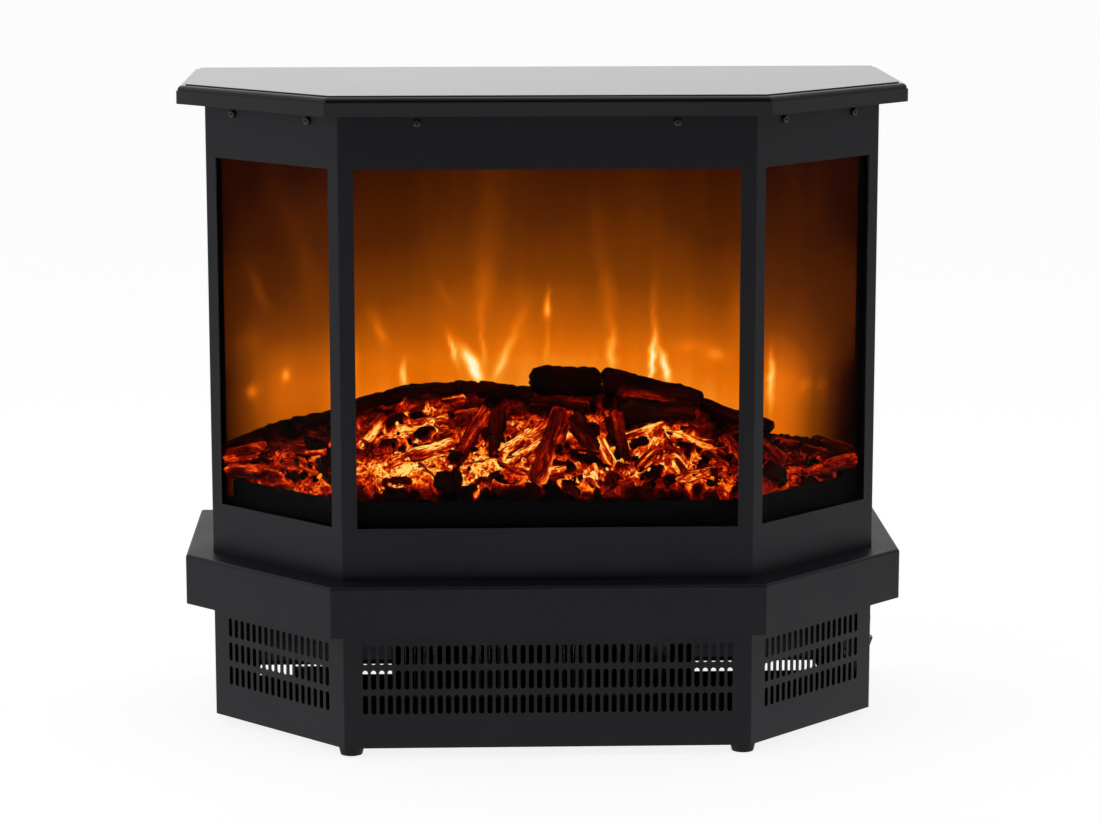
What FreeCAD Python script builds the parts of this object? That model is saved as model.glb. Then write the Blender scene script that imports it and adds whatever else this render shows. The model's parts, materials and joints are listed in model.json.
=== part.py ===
"""Free-standing electric fireplace stove with a three-sided bay front.

Millimetres. +Z is up, the front faces -Y, and the origin is on the floor under the middle of the stove.
A slotted plinth with a fan heater carries a stepped hearth ledge, a windowed firebox and a moulded mantel.
"""
import FreeCAD, Part
import os
import re

import Sketcher
from FreeCAD import Placement, Rotation, Vector

# Driving sizes. Every one is a cell of the document's sheet.
SIZES = {
    # plan and levels
    "overall_width": 600,
    "overall_depth": 305,
    "corner_leg": 125,
    "overhang": 22.5,
    "rear_setback": 6,
    "foot_height": 8,
    "plinth_height": 98,
    "ledge_height": 42,
    "mantel_thickness": 16,
    # sheet metal
    "sheet": 1,
    "bend_radius": 2.5,
    "body_flange": 14,
    "plinth_flange": 28,
    "rear_lip": 5,
    "fit_gap": 0.3,
    "running_gap": 0.05,
    # moulded edge of the mantel
    "raised_height": 1.1,
    "ovolo_height": 4.4,
    "ovolo_step": 0.4,
    "ovolo_flat": 1,
    "moulding_inset": 7.4,
    "mantel_corner_radius": 2.5,
    # windows and glass
    "window_sill": 43,
    "window_height": 290,
    "window_head": 44,
    "window_margin": 12,
    "glass_thickness": 4,
    "glass_lap": 8,
    "clip_width": 16,
    "clip_foot": 9,
    "clip_lip": 5,
    # mantel brackets and their screws
    "bracket_leg": 20,
    "bracket_width": 22,
    "bracket_sheet": 2,
    "mantel_screw_drop": 7,
    "mantel_screw_corner": 62.7,
    "mantel_screw_end": 34.5,
    "mantel_screw_length": 8,
    "wood_screw_reach": 13,
    "wood_screw_length": 12,
    "screw_shank": 3.5,
    "screw_head": 6.4,
    "screw_head_height": 2.4,
    "screw_crown": 3.84,
    "screw_edge_share": 0.45,
    "screw_gap": 0.15,
    # heater grille
    "slot_width": 4.2,
    "slot_height": 16,
    "slot_rows": 3,
    "slot_row_pitch": 20.7,
    "slot_top_margin": 12,
    "slot_columns": 45,
    "slot_end": 17.2,
    "side_slot_columns": 17,
    "side_slot_end": 19.9,
    # base pan and feet
    "intake_depth": 47.5,
    "foot_top_diameter": 22,
    "foot_base_diameter": 18,
    "foot_recess_diameter": 10,
    "foot_recess_depth": 4,
    "foot_front_setback": 14.5,
    "foot_corner_setback": 5,
    "foot_screw_length": 10,
    # rear panels
    "panel_screw_edge": 7,
    "panel_screw_end": 30,
    "panel_screw_rows": 4,
    "plinth_screw_rows": 2,
    "panel_screw_length": 5,
    "panel_screw_head_height": 1.8,
    "vent_width": 4,
    "vent_length": 22,
    "vent_columns": 24,
    "vent_pitch": 10,
    "vent_drop": 45,
    "access_width": 180,
    "access_height": 80,
    "access_rise": 60,
    "cover_lap": 12,
    "wire_way_side": 72.5,
    "wire_way_back": 60.5,
    "wire_way_width": 50,
    "wire_way_length": 30,
    "gland_side": 62.5,
    "gland_rise": 42,
    "gland_diameter": 12,
    "gland_flange": 18,
    "gland_flange_thickness": 3,
    "gland_bore": 7.5,
    "gland_length": 12,
    # firebox
    "floor_inset": 40,
    "floor_height": 35,
    "tray_wall": 1.5,
    "tray_lip": 26,
    "bed_wall": 5,
    "bed_end": 8,
    "bed_lip": 30,
    "bed_crest_setback": 40,
    "bed_back_drop": 12,
    "bed_knee_inward_share": 0.45,
    "bed_knee_rise_share": 0.6,
    "mound_height": 103,
    "coal_side": 13,
    "screen_setback": 100.5,
    "screen_thickness": 3,
    "screen_margin": 8,
    "screen_top_gap": 4,
    "screen_angle": 20,
    # ember lights and flame lights
    "board_thickness": 1.6,
    "led_width": 5,
    "led_height": 1.5,
    "ember_board_end": 58.2,
    "ember_board_width": 24,
    "ember_board_back": 54.9,
    "ember_led_count": 14,
    "ember_led_end": 18,
    "flame_board_end": 66.5,
    "flame_board_width": 20,
    "flame_board_rise": 30,
    "flame_led_count": 18,
    "flame_led_end": 14.5,
    "rail_gap": 73,
    "rail_height": 56,
    "rail_foot": 10,
    # flame stencil
    "stencil_gap": 15,
    "stencil_end": 51.5,
    "stencil_height": 180,
    "stencil_foot": 10,
    "flame_count": 9,
    "flame_end": 33,
    "flame_width": 20,
    "flame_height": 110,
    "flame_foot_width": 8,
    "flame_tip_lean": 2,
    "flame_shoulder_rise": 33,
    "flame_back_rise": 44,
    "flame_rise": 45,
    # flame spindle
    "spindle_gap": 47,
    "spindle_rise": 67,
    "spindle_diameter": 5,
    "spindle_end": 41.5,
    "flag_count": 19,
    "flag_end": 28,
    "flag_width": 14,
    "flag_length": 34,
    "flag_thickness": 0.6,
    "flag_turn": 37,
    "stand_sheet": 1.5,
    "stand_width": 40,
    "stand_foot": 20,
    "stand_head": 24,
    "motor_diameter": 44,
    "motor_length": 20,
    "motor_boss": 9,
    "motor_grip": 9,
    # fan heater
    "heater_width": 258,
    "heater_gap": 1,
    "heater_depth": 92,
    "heater_height": 78,
    "inlet_width": 180,
    "inlet_height": 36,
    "inlet_top": 8,
    "rotor_back": 35,
    "rotor_rise": 38,
    "rotor_diameter": 44,
    "rotor_shaft": 5,
    "rotor_disc": 2,
    "rotor_end_gap": 6,
    "blade_count": 24,
    "blade_chord": 9,
    "blade_lean": 1.98,
    "blade_thickness": 0.8,
    "motor_bay": 36,
    "bearing_diameter": 12,
    "bearing_length": 5,
    "scroll_gap": 4,
    "coil_diameter": 16,
    "coil_length": 24,
    "coil_drop": 22,
    "stack_width": 40,
    "stack_rise": 14,
    "stack_length": 18,
    "motor_cap_diameter": 18,
    "element_place": 8,
    "element_depth": 14,
    "element_rail": 6,
    "fin_count": 26,
    "fin_end": 10.2,
    "fin_thickness": 1,
    "cutout_diameter": 16,
    "cutout_collar_diameter": 22.4,
    "cutout_height": 7,
    "cutout_place": 40,
    "terminal_length": 42,
    "terminal_width": 17,
    "terminal_height": 15,
    "terminal_ways": 3,
    "terminal_pitch": 12,
    "terminal_bore": 4,
    "terminal_side": 82.5,
    # controls on the right side of the plinth
    "rocker_share": 0.16,
    "rocker_pitch_share": 0.165,
    "knob_share": 0.76,
    "switch_width": 13,
    "switch_height": 19,
    "switch_depth": 18,
    "bezel_lap": 1.5,
    "bezel_thickness": 2,
    "rocker_width": 9,
    "rocker_length": 15.2,
    "rocker_tilt": 10,
    "rocker_pin": 2,
    "rocker_pin_depth": 1.5,
    "rocker_clearance": 1,
    "rocker_proud": 4,
    "rocker_dip": 1.2,
    "rocker_shoulder": 1.5,
    "rocker_root": 4,
    "rocker_shoulder_inset": 0.608,
    "rocker_waist_inset": 2.888,
    "rocker_root_inset": 5.32,
    "pivot_depth": 1.5,
    "tab_length": 8,
    "tab_width": 4.8,
    "tab_thickness": 0.8,
    "knob_diameter": 20,
    "knob_length": 13,
    "knob_face_wall": 2.6,
    "knob_gap": 2.6,
    "knob_rib": 1.2,
    "knob_shaft": 6,
    "pot_diameter": 17,
    "pot_length": 9,
    "pot_bush": 8,
    "pot_nut": 11,
    "pot_nut_thickness": 2,
    "control_board_size": 41.6,
}

# Places that follow from the driving sizes.
DERIVED = {
    "plinth_base": "foot_height",
    "ledge_base": "foot_height + plinth_height",
    "body_base": "ledge_base + ledge_height",
    "body_height": "window_sill + window_height + window_head",
    "mantel_base": "body_base + body_height",
    "fascia_height": "mantel_thickness - ovolo_height - raised_height",
    "ovolo_radius": "ovolo_height - ovolo_step",
    "body_half": "overall_width / 2 - overhang",
    "body_front": "overhang - overall_depth / 2",
    "body_leg": "corner_leg - overhang * (1 - tan(22.5deg))",
    "front_half": "body_half - body_leg",
    "face_length": "body_leg * sqrt(2)",
    "inner_half": "body_half - sheet",
    "shell_back": "overall_depth / 2 - rear_setback - sheet",
    "side_start": "body_front + body_leg",
    "side_length": "shell_back - side_start",
    "window_base": "body_base + window_sill",
    "hole_radius": "screw_shank / 2 + screw_gap",
    "mantel_screw_spread": "front_half - mantel_screw_corner",
    "slot_pitch": "2 * (front_half - slot_end) / (slot_columns - 1)",
    "side_slot_pitch": "(face_length - 2 * side_slot_end) / (side_slot_columns - 1)",
    "pan_back": "shell_back - intake_depth",
    "wire_way_place": "body_half - wire_way_side",
    "wire_way_depth": "shell_back - wire_way_back",
    "gland_place": "body_half - gland_side",
    "screen_place": "shell_back - screen_setback",
    "screen_back": "screen_place + screen_thickness",
    "screen_top": "mantel_base - sheet - screen_top_gap",
    "pan_top": "plinth_base + 2 * sheet",
    "floor_top": "body_base + floor_height",
    "bed_inset": "floor_inset + tray_wall + fit_gap",
    "bed_base": "floor_top + sheet",
    "bed_half": "overall_width / 2 - bed_inset",
    "bed_front": "bed_inset - overall_depth / 2",
    "bed_front_half": "bed_half - corner_leg + bed_inset * (1 - tan(22.5deg))",
    "bed_back": "screen_place - 2 * fit_gap - tray_wall",
    "ember_board_length": "2 * (bed_half - ember_board_end)",
    "ember_board_place": "bed_back - ember_board_back",
    "ember_led_pitch": "(ember_board_length - 2 * ember_led_end) / (ember_led_count - 1)",
    "stencil_place": "screen_place + stencil_gap",
    "stencil_width": "2 * (inner_half - stencil_end)",
    "flame_pitch": "(stencil_width - 2 * flame_end) / (flame_count - 1)",
    "spindle_place": "screen_place + spindle_gap",
    "spindle_level": "body_base + spindle_rise",
    "spindle_span": "2 * (inner_half - spindle_end)",
    "flag_pitch": "(spindle_span - 2 * flag_end) / (flag_count - 1)",
    "rail_place": "screen_place + rail_gap",
    "flame_board_length": "2 * (inner_half - flame_board_end)",
    "flame_led_pitch": "(flame_board_length - 2 * flame_led_end) / (flame_led_count - 1)",
    "heater_half": "heater_width / 2",
    "heater_back": "pan_back - heater_gap",
    "heater_front": "heater_back - heater_depth",
    "heater_top": "pan_top + heater_height",
    "bay_wall": "heater_half - motor_bay",
    "rotor_place": "heater_back - rotor_back",
    "rotor_level": "pan_top + rotor_rise",
    "rotor_start": "sheet - heater_half + bearing_length + rotor_end_gap",
    "rotor_end": "bay_wall - rotor_end_gap",
    "element_start": "sheet - heater_half + fit_gap",
    "element_end": "bay_wall - fit_gap",
    "fin_pitch": "(element_end - element_start - 2 * fin_end) / (fin_count - 1)",
    "terminal_place": "body_half - terminal_side",
    "rocker_first": "side_start + rocker_share * side_length",
    "rocker_pitch": "rocker_pitch_share * side_length",
    "knob_place": "side_start + knob_share * side_length",
    "control_level": "plinth_base + plinth_height / 2",
    "recess_half": "rocker_width / 2 + fit_gap",
}

doc = FreeCAD.newDocument("bay_stove")
sheet = doc.addObject("Spreadsheet::Sheet", "sizes")
nodes = []


def fill_sheet():
    """Write every driving size into the sheet under its own name."""
    for row, (name, value) in enumerate(SIZES.items(), start=1):
        sheet.set(f"A{row}", name)
        sheet.set(f"B{row}", str(value))
        sheet.setAlias(f"B{row}", name)
    doc.recompute()


def formula(text):
    """Turn the names in a formula into cells of the sheet, derived places first."""

    def swap(match):
        word = match.group(0)
        if word in DERIVED:
            return f"({formula(DERIVED[word])})"
        return f"sizes.{word}" if word in SIZES else word

    return re.sub(r"[a-z][a-z0-9_]*", swap, str(text))


def value(text):
    """The number that a formula gives now."""
    return float(sheet.evalExpression(formula(text)))


def bind(thing, **settings):
    """Tie properties of an object to formulas."""
    for name, text in settings.items():
        thing.setExpression(name, formula(text))
    return thing


def place(thing, x="0", y="0", z="0", turn=None):
    """Put an object at a place given by formulas, turned by a fixed rotation."""
    thing.Placement = Placement(Vector(), turn or Rotation())
    for axis, text in zip("xyz", (x, y, z)):
        thing.setExpression(f"Placement.Base.{axis}", formula(text))
    return thing


def node(thing, name):
    """Keep an object as one sub-part of the stove."""
    thing.Label = name
    nodes.append(thing)
    return thing


# Sketches and features of bodies


def new_body(name):
    return doc.addObject("PartDesign::Body", name)


def sketch_on(body, name, plane, lift="0"):
    """A sketch on one of the body's origin planes, lifted along the plane's normal."""
    sketch = body.newObject("Sketcher::SketchObject", name)
    origin = next(f for f in body.Origin.OriginFeatures if f.Role == plane)
    sketch.AttachmentSupport = (origin, [""])
    sketch.MapMode = "FlatFace"
    sketch.setExpression("AttachmentOffset.Base.z", formula(lift))
    return sketch


def level(body, name, height):
    """A horizontal sketch at a height."""
    return sketch_on(body, name, "XY_Plane", height)


def across(body, name, x="0"):
    """An upright sketch across the stove, whose axes are depth and height."""
    return sketch_on(body, name, "YZ_Plane", x)


def upright(body, name, y="0"):
    """An upright sketch facing the front, whose axes are width and height."""
    return sketch_on(body, name, "XZ_Plane", f"-({y})")


def bay_face(body, name, side):
    """A sketch on a bay face: 0 is the front, 1 the right 45 degree face and -1 the left one.

    On the slanting faces its first axis runs from the front corner, outwards on the right.
    """
    sketch = upright(body, name, "body_front")
    if side:
        sketch.AttachmentOffset = Placement(Vector(), Rotation(Vector(0, 1, 0), 45 * side))
        sketch.setExpression("AttachmentOffset.Base.x", formula(f"{side} * front_half"))
        sketch.setExpression("AttachmentOffset.Base.z", formula("-body_front"))
    return sketch


def fix_point(sketch, index, end, x, y):
    """Hold one point of a sketch at formulas measured from its origin."""
    for kind, text in (("DistanceX", x), ("DistanceY", y)):
        rule = sketch.addConstraint(Sketcher.Constraint(kind, -1, 1, index, end, value(text)))
        sketch.setExpression(f"Constraints[{rule}]", formula(text))


def outline(sketch, points):
    """A closed outline of straight lines through points given by formulas."""
    spots = [Vector(value(x), value(y), 0) for x, y in points]
    first = sketch.GeometryCount
    count = len(points)
    for i in range(count):
        sketch.addGeometry(Part.LineSegment(spots[i], spots[(i + 1) % count]), False)
    for i in range(count):
        sketch.addConstraint(Sketcher.Constraint("Coincident", first + i, 2, first + (i + 1) % count, 1))
        fix_point(sketch, first + i, 1, *points[i])
    return sketch


def rectangle(sketch, x0, y0, x1, y1):
    return outline(sketch, [(x0, y0), (x1, y0), (x1, y1), (x0, y1)])


def circle(sketch, x, y, radius):
    spot = Vector(value(x), value(y), 0)
    index = sketch.addGeometry(Part.Circle(spot, Vector(0, 0, 1), value(radius)), False)
    fix_point(sketch, index, 3, x, y)
    rule = sketch.addConstraint(Sketcher.Constraint("Radius", index, value(radius)))
    sketch.setExpression(f"Constraints[{rule}]", formula(radius))
    return sketch


def slot(sketch, x, y, width, length):
    """An upright slot with round ends, centred on x, whose lower end is at y."""
    radius = value(width) / 2
    low = Vector(value(x), value(y) + radius, 0)
    high = low + Vector(0, value(length) - 2 * radius, 0)
    reach = Vector(radius, 0, 0)
    half_turn = 3.14159265358979
    first = sketch.GeometryCount
    upper = Part.Circle(high, Vector(0, 0, 1), radius)
    lower = Part.Circle(low, Vector(0, 0, 1), radius)
    sketch.addGeometry(Part.LineSegment(low - reach, high - reach), False)
    sketch.addGeometry(Part.ArcOfCircle(upper, 0, half_turn), False)
    sketch.addGeometry(Part.LineSegment(high + reach, low + reach), False)
    sketch.addGeometry(Part.ArcOfCircle(lower, half_turn, 2 * half_turn), False)
    for a, a_end, b, b_end in ((0, 2, 1, 2), (1, 1, 2, 1), (2, 2, 3, 2), (3, 1, 0, 1)):
        sketch.addConstraint(Sketcher.Constraint("Tangent", first + a, a_end, first + b, b_end))
    rule = sketch.addConstraint(Sketcher.Constraint("Radius", first + 1, radius))
    sketch.setExpression(f"Constraints[{rule}]", formula(f"({width}) / 2"))
    fix_point(sketch, first + 3, 3, x, f"({y}) + ({width}) / 2")
    fix_point(sketch, first + 1, 3, x, f"({y}) + ({length}) - ({width}) / 2")
    return sketch


def bay(inset, back):
    """Corners of the bay plan, set in from the mantel's outline and ending at a depth."""
    half = f"(overall_width / 2 - ({inset}))"
    front = f"(({inset}) - overall_depth / 2)"
    leg = f"(corner_leg - ({inset}) * (1 - tan(22.5deg)))"
    right = [(half, back), (half, f"{front} + {leg}"), (f"{half} - {leg}", front)]
    left = [(f"-({x})", y) for x, y in reversed(right)]
    return right + left


def plan(body, name, inset, back, height):
    return outline(level(body, name, height), bay(inset, back))


def feature(body, kind, name, profile, length, both_ways=False, backwards=False):
    made = body.newObject(f"PartDesign::{kind}", name)
    made.Profile = profile
    if both_ways:
        made.SideType = "Symmetric"
    made.Reversed = backwards
    return bind(made, Length=length)


def pad(body, name, profile, length, both_ways=False, backwards=False):
    return feature(body, "Pad", name, profile, length, both_ways, backwards)


def pocket(body, name, profile, length, both_ways=False, backwards=False):
    """Cut a profile out of a body, and stop if it cut nothing."""
    doc.recompute()
    before = body.Shape.Volume
    made = feature(body, "Pocket", name, profile, length, both_ways, backwards)
    doc.recompute()
    if body.Shape.Volume > before - 1e-6:
        raise RuntimeError(f"{name} cuts nothing")
    return made


def repeat(body, name, original, sketch, axis, pitch, count):
    """Repeat a feature along an axis of its sketch."""
    made = body.newObject("PartDesign::LinearPattern", name)
    made.Originals = [original]
    made.Direction = (sketch, [axis])
    made.Mode = "Spacing"
    bind(made, Offset=pitch, Occurrences=count)
    body.Tip = made
    return made


def round_edges(body, name, radius, chosen):
    """Round the edges of a body that a test picks."""
    doc.recompute()
    edges = [f"Edge{i}" for i, edge in enumerate(body.Shape.Edges, start=1) if chosen(edge)]
    made = body.newObject("PartDesign::Fillet", name)
    made.Base = (body.Tip if made is not body.Tip else made.BaseFeature, edges)
    return bind(made, Radius=radius)


def is_upright(edge):
    a, b = edge.Vertexes[0].Point, edge.Vertexes[-1].Point
    return abs(a.z - b.z) > 1e-6 and (a - b).cross(Vector(0, 0, 1)).Length < 1e-6


def bay_corner(inset):
    """A test for the upright edges at the four bent corners of a bay plan."""
    spots = [Vector(value(x), value(y), 0) for x, y in bay(inset, "shell_back")[1:5]]

    def chosen(edge):
        foot = edge.Vertexes[0].Point
        flat = Vector(foot.x, foot.y, 0)
        return is_upright(edge) and any((flat - spot).Length < 1e-4 for spot in spots)

    return chosen


def revolve(body, name, profile, axis="V_Axis"):
    made = body.newObject("PartDesign::Revolution", name)
    made.Profile = profile
    made.ReferenceAxis = (profile, [axis])
    made.Angle = 360
    return made


# Primitives, booleans and copies


def box(name, x0, y0, z0, x1, y1, z1):
    """A block between two corners."""
    made = doc.addObject("Part::Box", name)
    bind(made, Length=f"({x1}) - ({x0})", Width=f"({y1}) - ({y0})", Height=f"({z1}) - ({z0})")
    return place(made, x0, y0, z0)


AXIS_TURN = {
    "x": Rotation(Vector(0, 1, 0), 90),
    "y": Rotation(Vector(1, 0, 0), -90),
    "z": Rotation(),
}


def rod(name, axis, x, y, z, diameter, length):
    """A cylinder that starts at a place and runs along an axis."""
    made = doc.addObject("Part::Cylinder", name)
    bind(made, Radius=f"({diameter}) / 2", Height=length)
    return place(made, x, y, z, AXIS_TURN[axis])


def joined(name, *members):
    made = doc.addObject("Part::MultiFuse", name)
    made.Shapes = list(members)
    return made


def cut(name, base, *tools):
    made = doc.addObject("Part::Cut", name)
    made.Base = base
    made.Tool = tools[0] if len(tools) == 1 else joined(f"{name}_tools", *tools)
    return made


def group(name, members):
    made = doc.addObject("Part::Compound", name)
    made.Links = list(members)
    return node(made, name)


def copies(name, master, places):
    """A sub-part made of equal pieces, one at each place and turn."""
    links = []
    for i, (x, y, z, turn) in enumerate(places, start=1):
        link = doc.addObject("App::Link", f"{name}_{i}")
        link.setLink(master)
        links.append(place(link, x, y, z, turn))
    return group(name, links)


def screw(name, length, head_height="screw_head_height"):
    """A pan head screw along +Y whose head seats on y = 0."""
    body = new_body(name)
    radius, shank = "screw_head / 2", "screw_shank / 2"
    profile = outline(
        sketch_on(body, f"{name}_profile", "XY_Plane"),
        [
            ("0", f"-{head_height}"),
            ("screw_crown / 2", f"-{head_height}"),
            (radius, f"-{head_height} * screw_edge_share"),
            (radius, "0"),
            (shank, "0"),
            (shank, length),
            ("0", length),
        ],
    )
    revolve(body, f"{name}_turned", profile)
    return body


def on_face(side, along, inward):
    """Plan position on a bay face, from the middle of the front or the front corner of a slanting face."""
    if side == 0:
        return along, f"body_front + {inward}"
    shift = f"(({along}) - ({inward})) * sqrt(0.5)"
    return f"{side} * (front_half + {shift})", f"body_front + (({along}) + ({inward})) * sqrt(0.5)"


def face_turn(side):
    return Rotation(Vector(0, 0, 1), 45 * side)


MANTEL_SCREWS = [
    (0, "-mantel_screw_spread"),
    (0, "mantel_screw_spread"),
    (1, "mantel_screw_end"),
    (1, "face_length - mantel_screw_end"),
    (-1, "mantel_screw_end"),
    (-1, "face_length - mantel_screw_end"),
]


def panel_screw_places(base, height, rows):
    """Screw places down both edges of a rear panel."""
    pitch = f"(({height}) - 2 * panel_screw_end) / ({rows} - 1)"
    return [
        (f"{side} * (body_half - sheet - panel_screw_edge)", f"{base} + panel_screw_end + {row} * {pitch}")
        for side in (-1, 1)
        for row in range(SIZES[rows])
    ]


BODY_PANEL_SCREWS = panel_screw_places("body_base", "body_height", "panel_screw_rows")
PLINTH_PANEL_SCREWS = panel_screw_places("plinth_base", "plinth_height", "plinth_screw_rows")

FEET = [
    (f"{side} * (front_half - foot_corner_setback)", "body_front + foot_front_setback") for side in (-1, 1)
] + [(f"{side} * (inner_half - plinth_flange / 2)", "shell_back - plinth_flange") for side in (-1, 1)]


# Mantel


def mantel_top():
    """Moulded board: square fascia, small flat, ovolo, quirk and raised top."""
    body = new_body("mantel_top")
    back = "overall_depth / 2"
    pad(body, "mantel_fascia", plan(body, "fascia_plan", "0", back, "mantel_base"), "fascia_height")
    ovolo_base = "mantel_base + fascia_height"
    pad(body, "mantel_ovolo", plan(body, "ovolo_plan", "ovolo_flat", back, ovolo_base), "ovolo_height")
    top_base = f"{ovolo_base} + ovolo_height"
    pad(body, "mantel_raised", plan(body, "raised_plan", "moulding_inset", back, top_base), "raised_height")
    corner_tests = [bay_corner(inset) for inset in ("0", "ovolo_flat", "moulding_inset")]
    round_edges(body, "mantel_corners", "mantel_corner_radius", lambda e: any(t(e) for t in corner_tests))
    brink = value(top_base)
    reach = value(back)
    inset = value("ovolo_flat + moulding_inset") / 2
    half, front = value("overall_width / 2") - inset, inset - reach
    slant = half - value("corner_leg") + inset * value("1 - tan(22.5deg)")

    def ovolo_edge(edge):
        limits = edge.BoundBox
        flat = abs(limits.ZMin - brink) < 1e-6 and abs(limits.ZMax - brink) < 1e-6
        middle = edge.valueAt((edge.FirstParameter + edge.LastParameter) / 2)
        x, y = abs(middle.x), middle.y
        outer = x > half or y < front or x - y > slant - front
        return flat and outer and y < reach - 1e-6

    round_edges(body, "mantel_ovolo_round", "ovolo_radius", ovolo_edge)
    pilots = level(body, "pilot_plan", "mantel_base")
    for side, along in MANTEL_SCREWS:
        circle(pilots, *on_face(side, along, "wood_screw_reach"), "hole_radius")
    pocket(body, "pilot_holes", pilots, "wood_screw_length", backwards=True)
    return node(body, "mantel_top")


def heat_shield():
    """Steel sheet under the mantel, held up by the brackets."""
    body = new_body("heat_shield")
    inset, back = "overhang + sheet + fit_gap", "shell_back - sheet - fit_gap"
    outer = plan(body, "shield_plan", inset, back, "mantel_base")
    pad(body, "shield_sheet", outer, "sheet", backwards=True)
    holes = level(body, "shield_holes", "mantel_base")
    for side, along in MANTEL_SCREWS:
        circle(holes, *on_face(side, along, "wood_screw_reach"), "hole_radius")
    pocket(body, "shield_drill", holes, "4 * sheet", both_ways=True)
    return node(body, "heat_shield")


def mantel_fixings():
    """Angle brackets behind the top of the windows, with the screws that show under the mantel."""
    bracket = new_body("mantel_bracket")
    near, far = "sheet", "sheet + bracket_leg"
    top, low = "-sheet", "-sheet - bracket_leg"
    angle = outline(
        across(bracket, "bracket_profile"),
        [
            (near, low),
            (f"{near} + bracket_sheet", low),
            (f"{near} + bracket_sheet", f"{top} - bracket_sheet"),
            (far, f"{top} - bracket_sheet"),
            (far, top),
            (near, top),
        ],
    )
    pad(bracket, "bracket_angle", angle, "bracket_width", both_ways=True)
    tapped = circle(upright(bracket, "bracket_tapped", near), "0", "-mantel_screw_drop", "hole_radius")
    pocket(bracket, "bracket_tapped_hole", tapped, "3 * bracket_sheet", both_ways=True)
    drilled = circle(level(bracket, "bracket_drilled", top), "0", "wood_screw_reach", "hole_radius")
    pocket(bracket, "bracket_drilled_hole", drilled, "3 * bracket_sheet", both_ways=True)
    machine_screw = screw("mantel_screw", "mantel_screw_length")
    wood_screw = screw("wood_screw", "wood_screw_length")
    brackets, outside, below = [], [], []
    up = Rotation(Vector(1, 0, 0), 90)
    for side, along in MANTEL_SCREWS:
        brackets.append((*on_face(side, along, "0"), "mantel_base", face_turn(side)))
        outside.append((*on_face(side, along, "0"), "mantel_base - mantel_screw_drop", face_turn(side)))
        below.append((*on_face(side, along, "wood_screw_reach"), "mantel_base - sheet - bracket_sheet", up))
    copies("mantel_brackets", bracket, brackets)
    copies("mantel_screws", machine_screw, outside)
    copies("wood_screws", wood_screw, below)


# Shells folded from sheet


def folded_shell(name, base, height, flange, bottom_back, open_top):
    """Walls on the bay plan with bottom and rear flanges, and a top flange unless the top is open."""
    body = new_body(name)
    pad(body, f"{name}_blank", plan(body, f"{name}_plan", "overhang", "shell_back", base), height)
    round_edges(body, f"{name}_bends", "bend_radius", bay_corner("overhang"))
    inner = plan(body, f"{name}_inner", "overhang + sheet", "shell_back - sheet", f"{base} + sheet")
    lid = "0" if open_top else "sheet"
    pocket(body, f"{name}_hollow", inner, f"{height} - sheet - {lid}", backwards=True)
    round_edges(body, f"{name}_inner_bends", "bend_radius - sheet", bay_corner("overhang + sheet"))
    mouth = plan(body, f"{name}_mouth", f"overhang + sheet + {flange}", bottom_back, base)
    pocket(body, f"{name}_bottom", mouth, "4 * sheet", both_ways=True)
    rear = rectangle(
        upright(body, f"{name}_rear", "shell_back"),
        f"-inner_half + {flange}",
        f"{base} + 2 * sheet",
        f"inner_half - {flange}",
        f"{base} + {height} - 2 * {lid}",
    )
    pocket(body, f"{name}_rear_mouth", rear, "4 * sheet", both_ways=True)
    return body


def body_shell():
    """Folded firebox case with three windows and the six holes under the mantel."""
    flange_back = "shell_back - sheet - body_flange"
    body = folded_shell("body_shell", "body_base", "body_height", "body_flange", flange_back, True)
    top = "window_base + window_height"
    for side in (0, 1, -1):
        word = {0: "front", 1: "right", -1: "left"}[side]
        window = bay_face(body, f"window_{word}", side)
        if side == 0:
            rectangle(window, "window_margin - front_half", "window_base", "front_half - window_margin", top)
        else:
            near, far = f"{side} * window_margin", f"{side} * (face_length - window_margin)"
            rectangle(window, near, "window_base", far, top)
        pocket(body, f"window_cut_{word}", window, "4 * sheet", both_ways=True)
        holes = bay_face(body, f"screw_holes_{word}", side)
        for screw_side, along in MANTEL_SCREWS:
            if screw_side == side:
                reach = f"{side} * ({along})" if side else along
                circle(holes, reach, "mantel_base - mantel_screw_drop", "hole_radius")
        pocket(body, f"screw_drill_{word}", holes, "4 * sheet", both_ways=True)
    rear = upright(body, "body_rear_holes", "shell_back")
    for x, z in BODY_PANEL_SCREWS:
        circle(rear, x, z, "hole_radius")
    pocket(body, "body_rear_drill", rear, "4 * sheet", both_ways=True)
    return node(body, "body_shell")


def slot_block(body, word, side, columns, pitch):
    """Rows of upright slots, centred on a bay face of the plinth."""
    face = bay_face(body, f"slots_{word}", side)
    middle = f"{side} * face_length / 2" if side else "0"
    start = f"{middle} - ({columns} - 1) / 2 * {pitch}"
    for row in range(SIZES["slot_rows"]):
        low = f"ledge_base - slot_top_margin - slot_height - {row} * slot_row_pitch"
        slot(face, start, low, "slot_width", "slot_height")
    first = pocket(body, f"slot_cut_{word}", face, "4 * sheet", both_ways=True)
    repeat(body, f"slot_rows_{word}", first, face, "H_Axis", pitch, columns)


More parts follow.
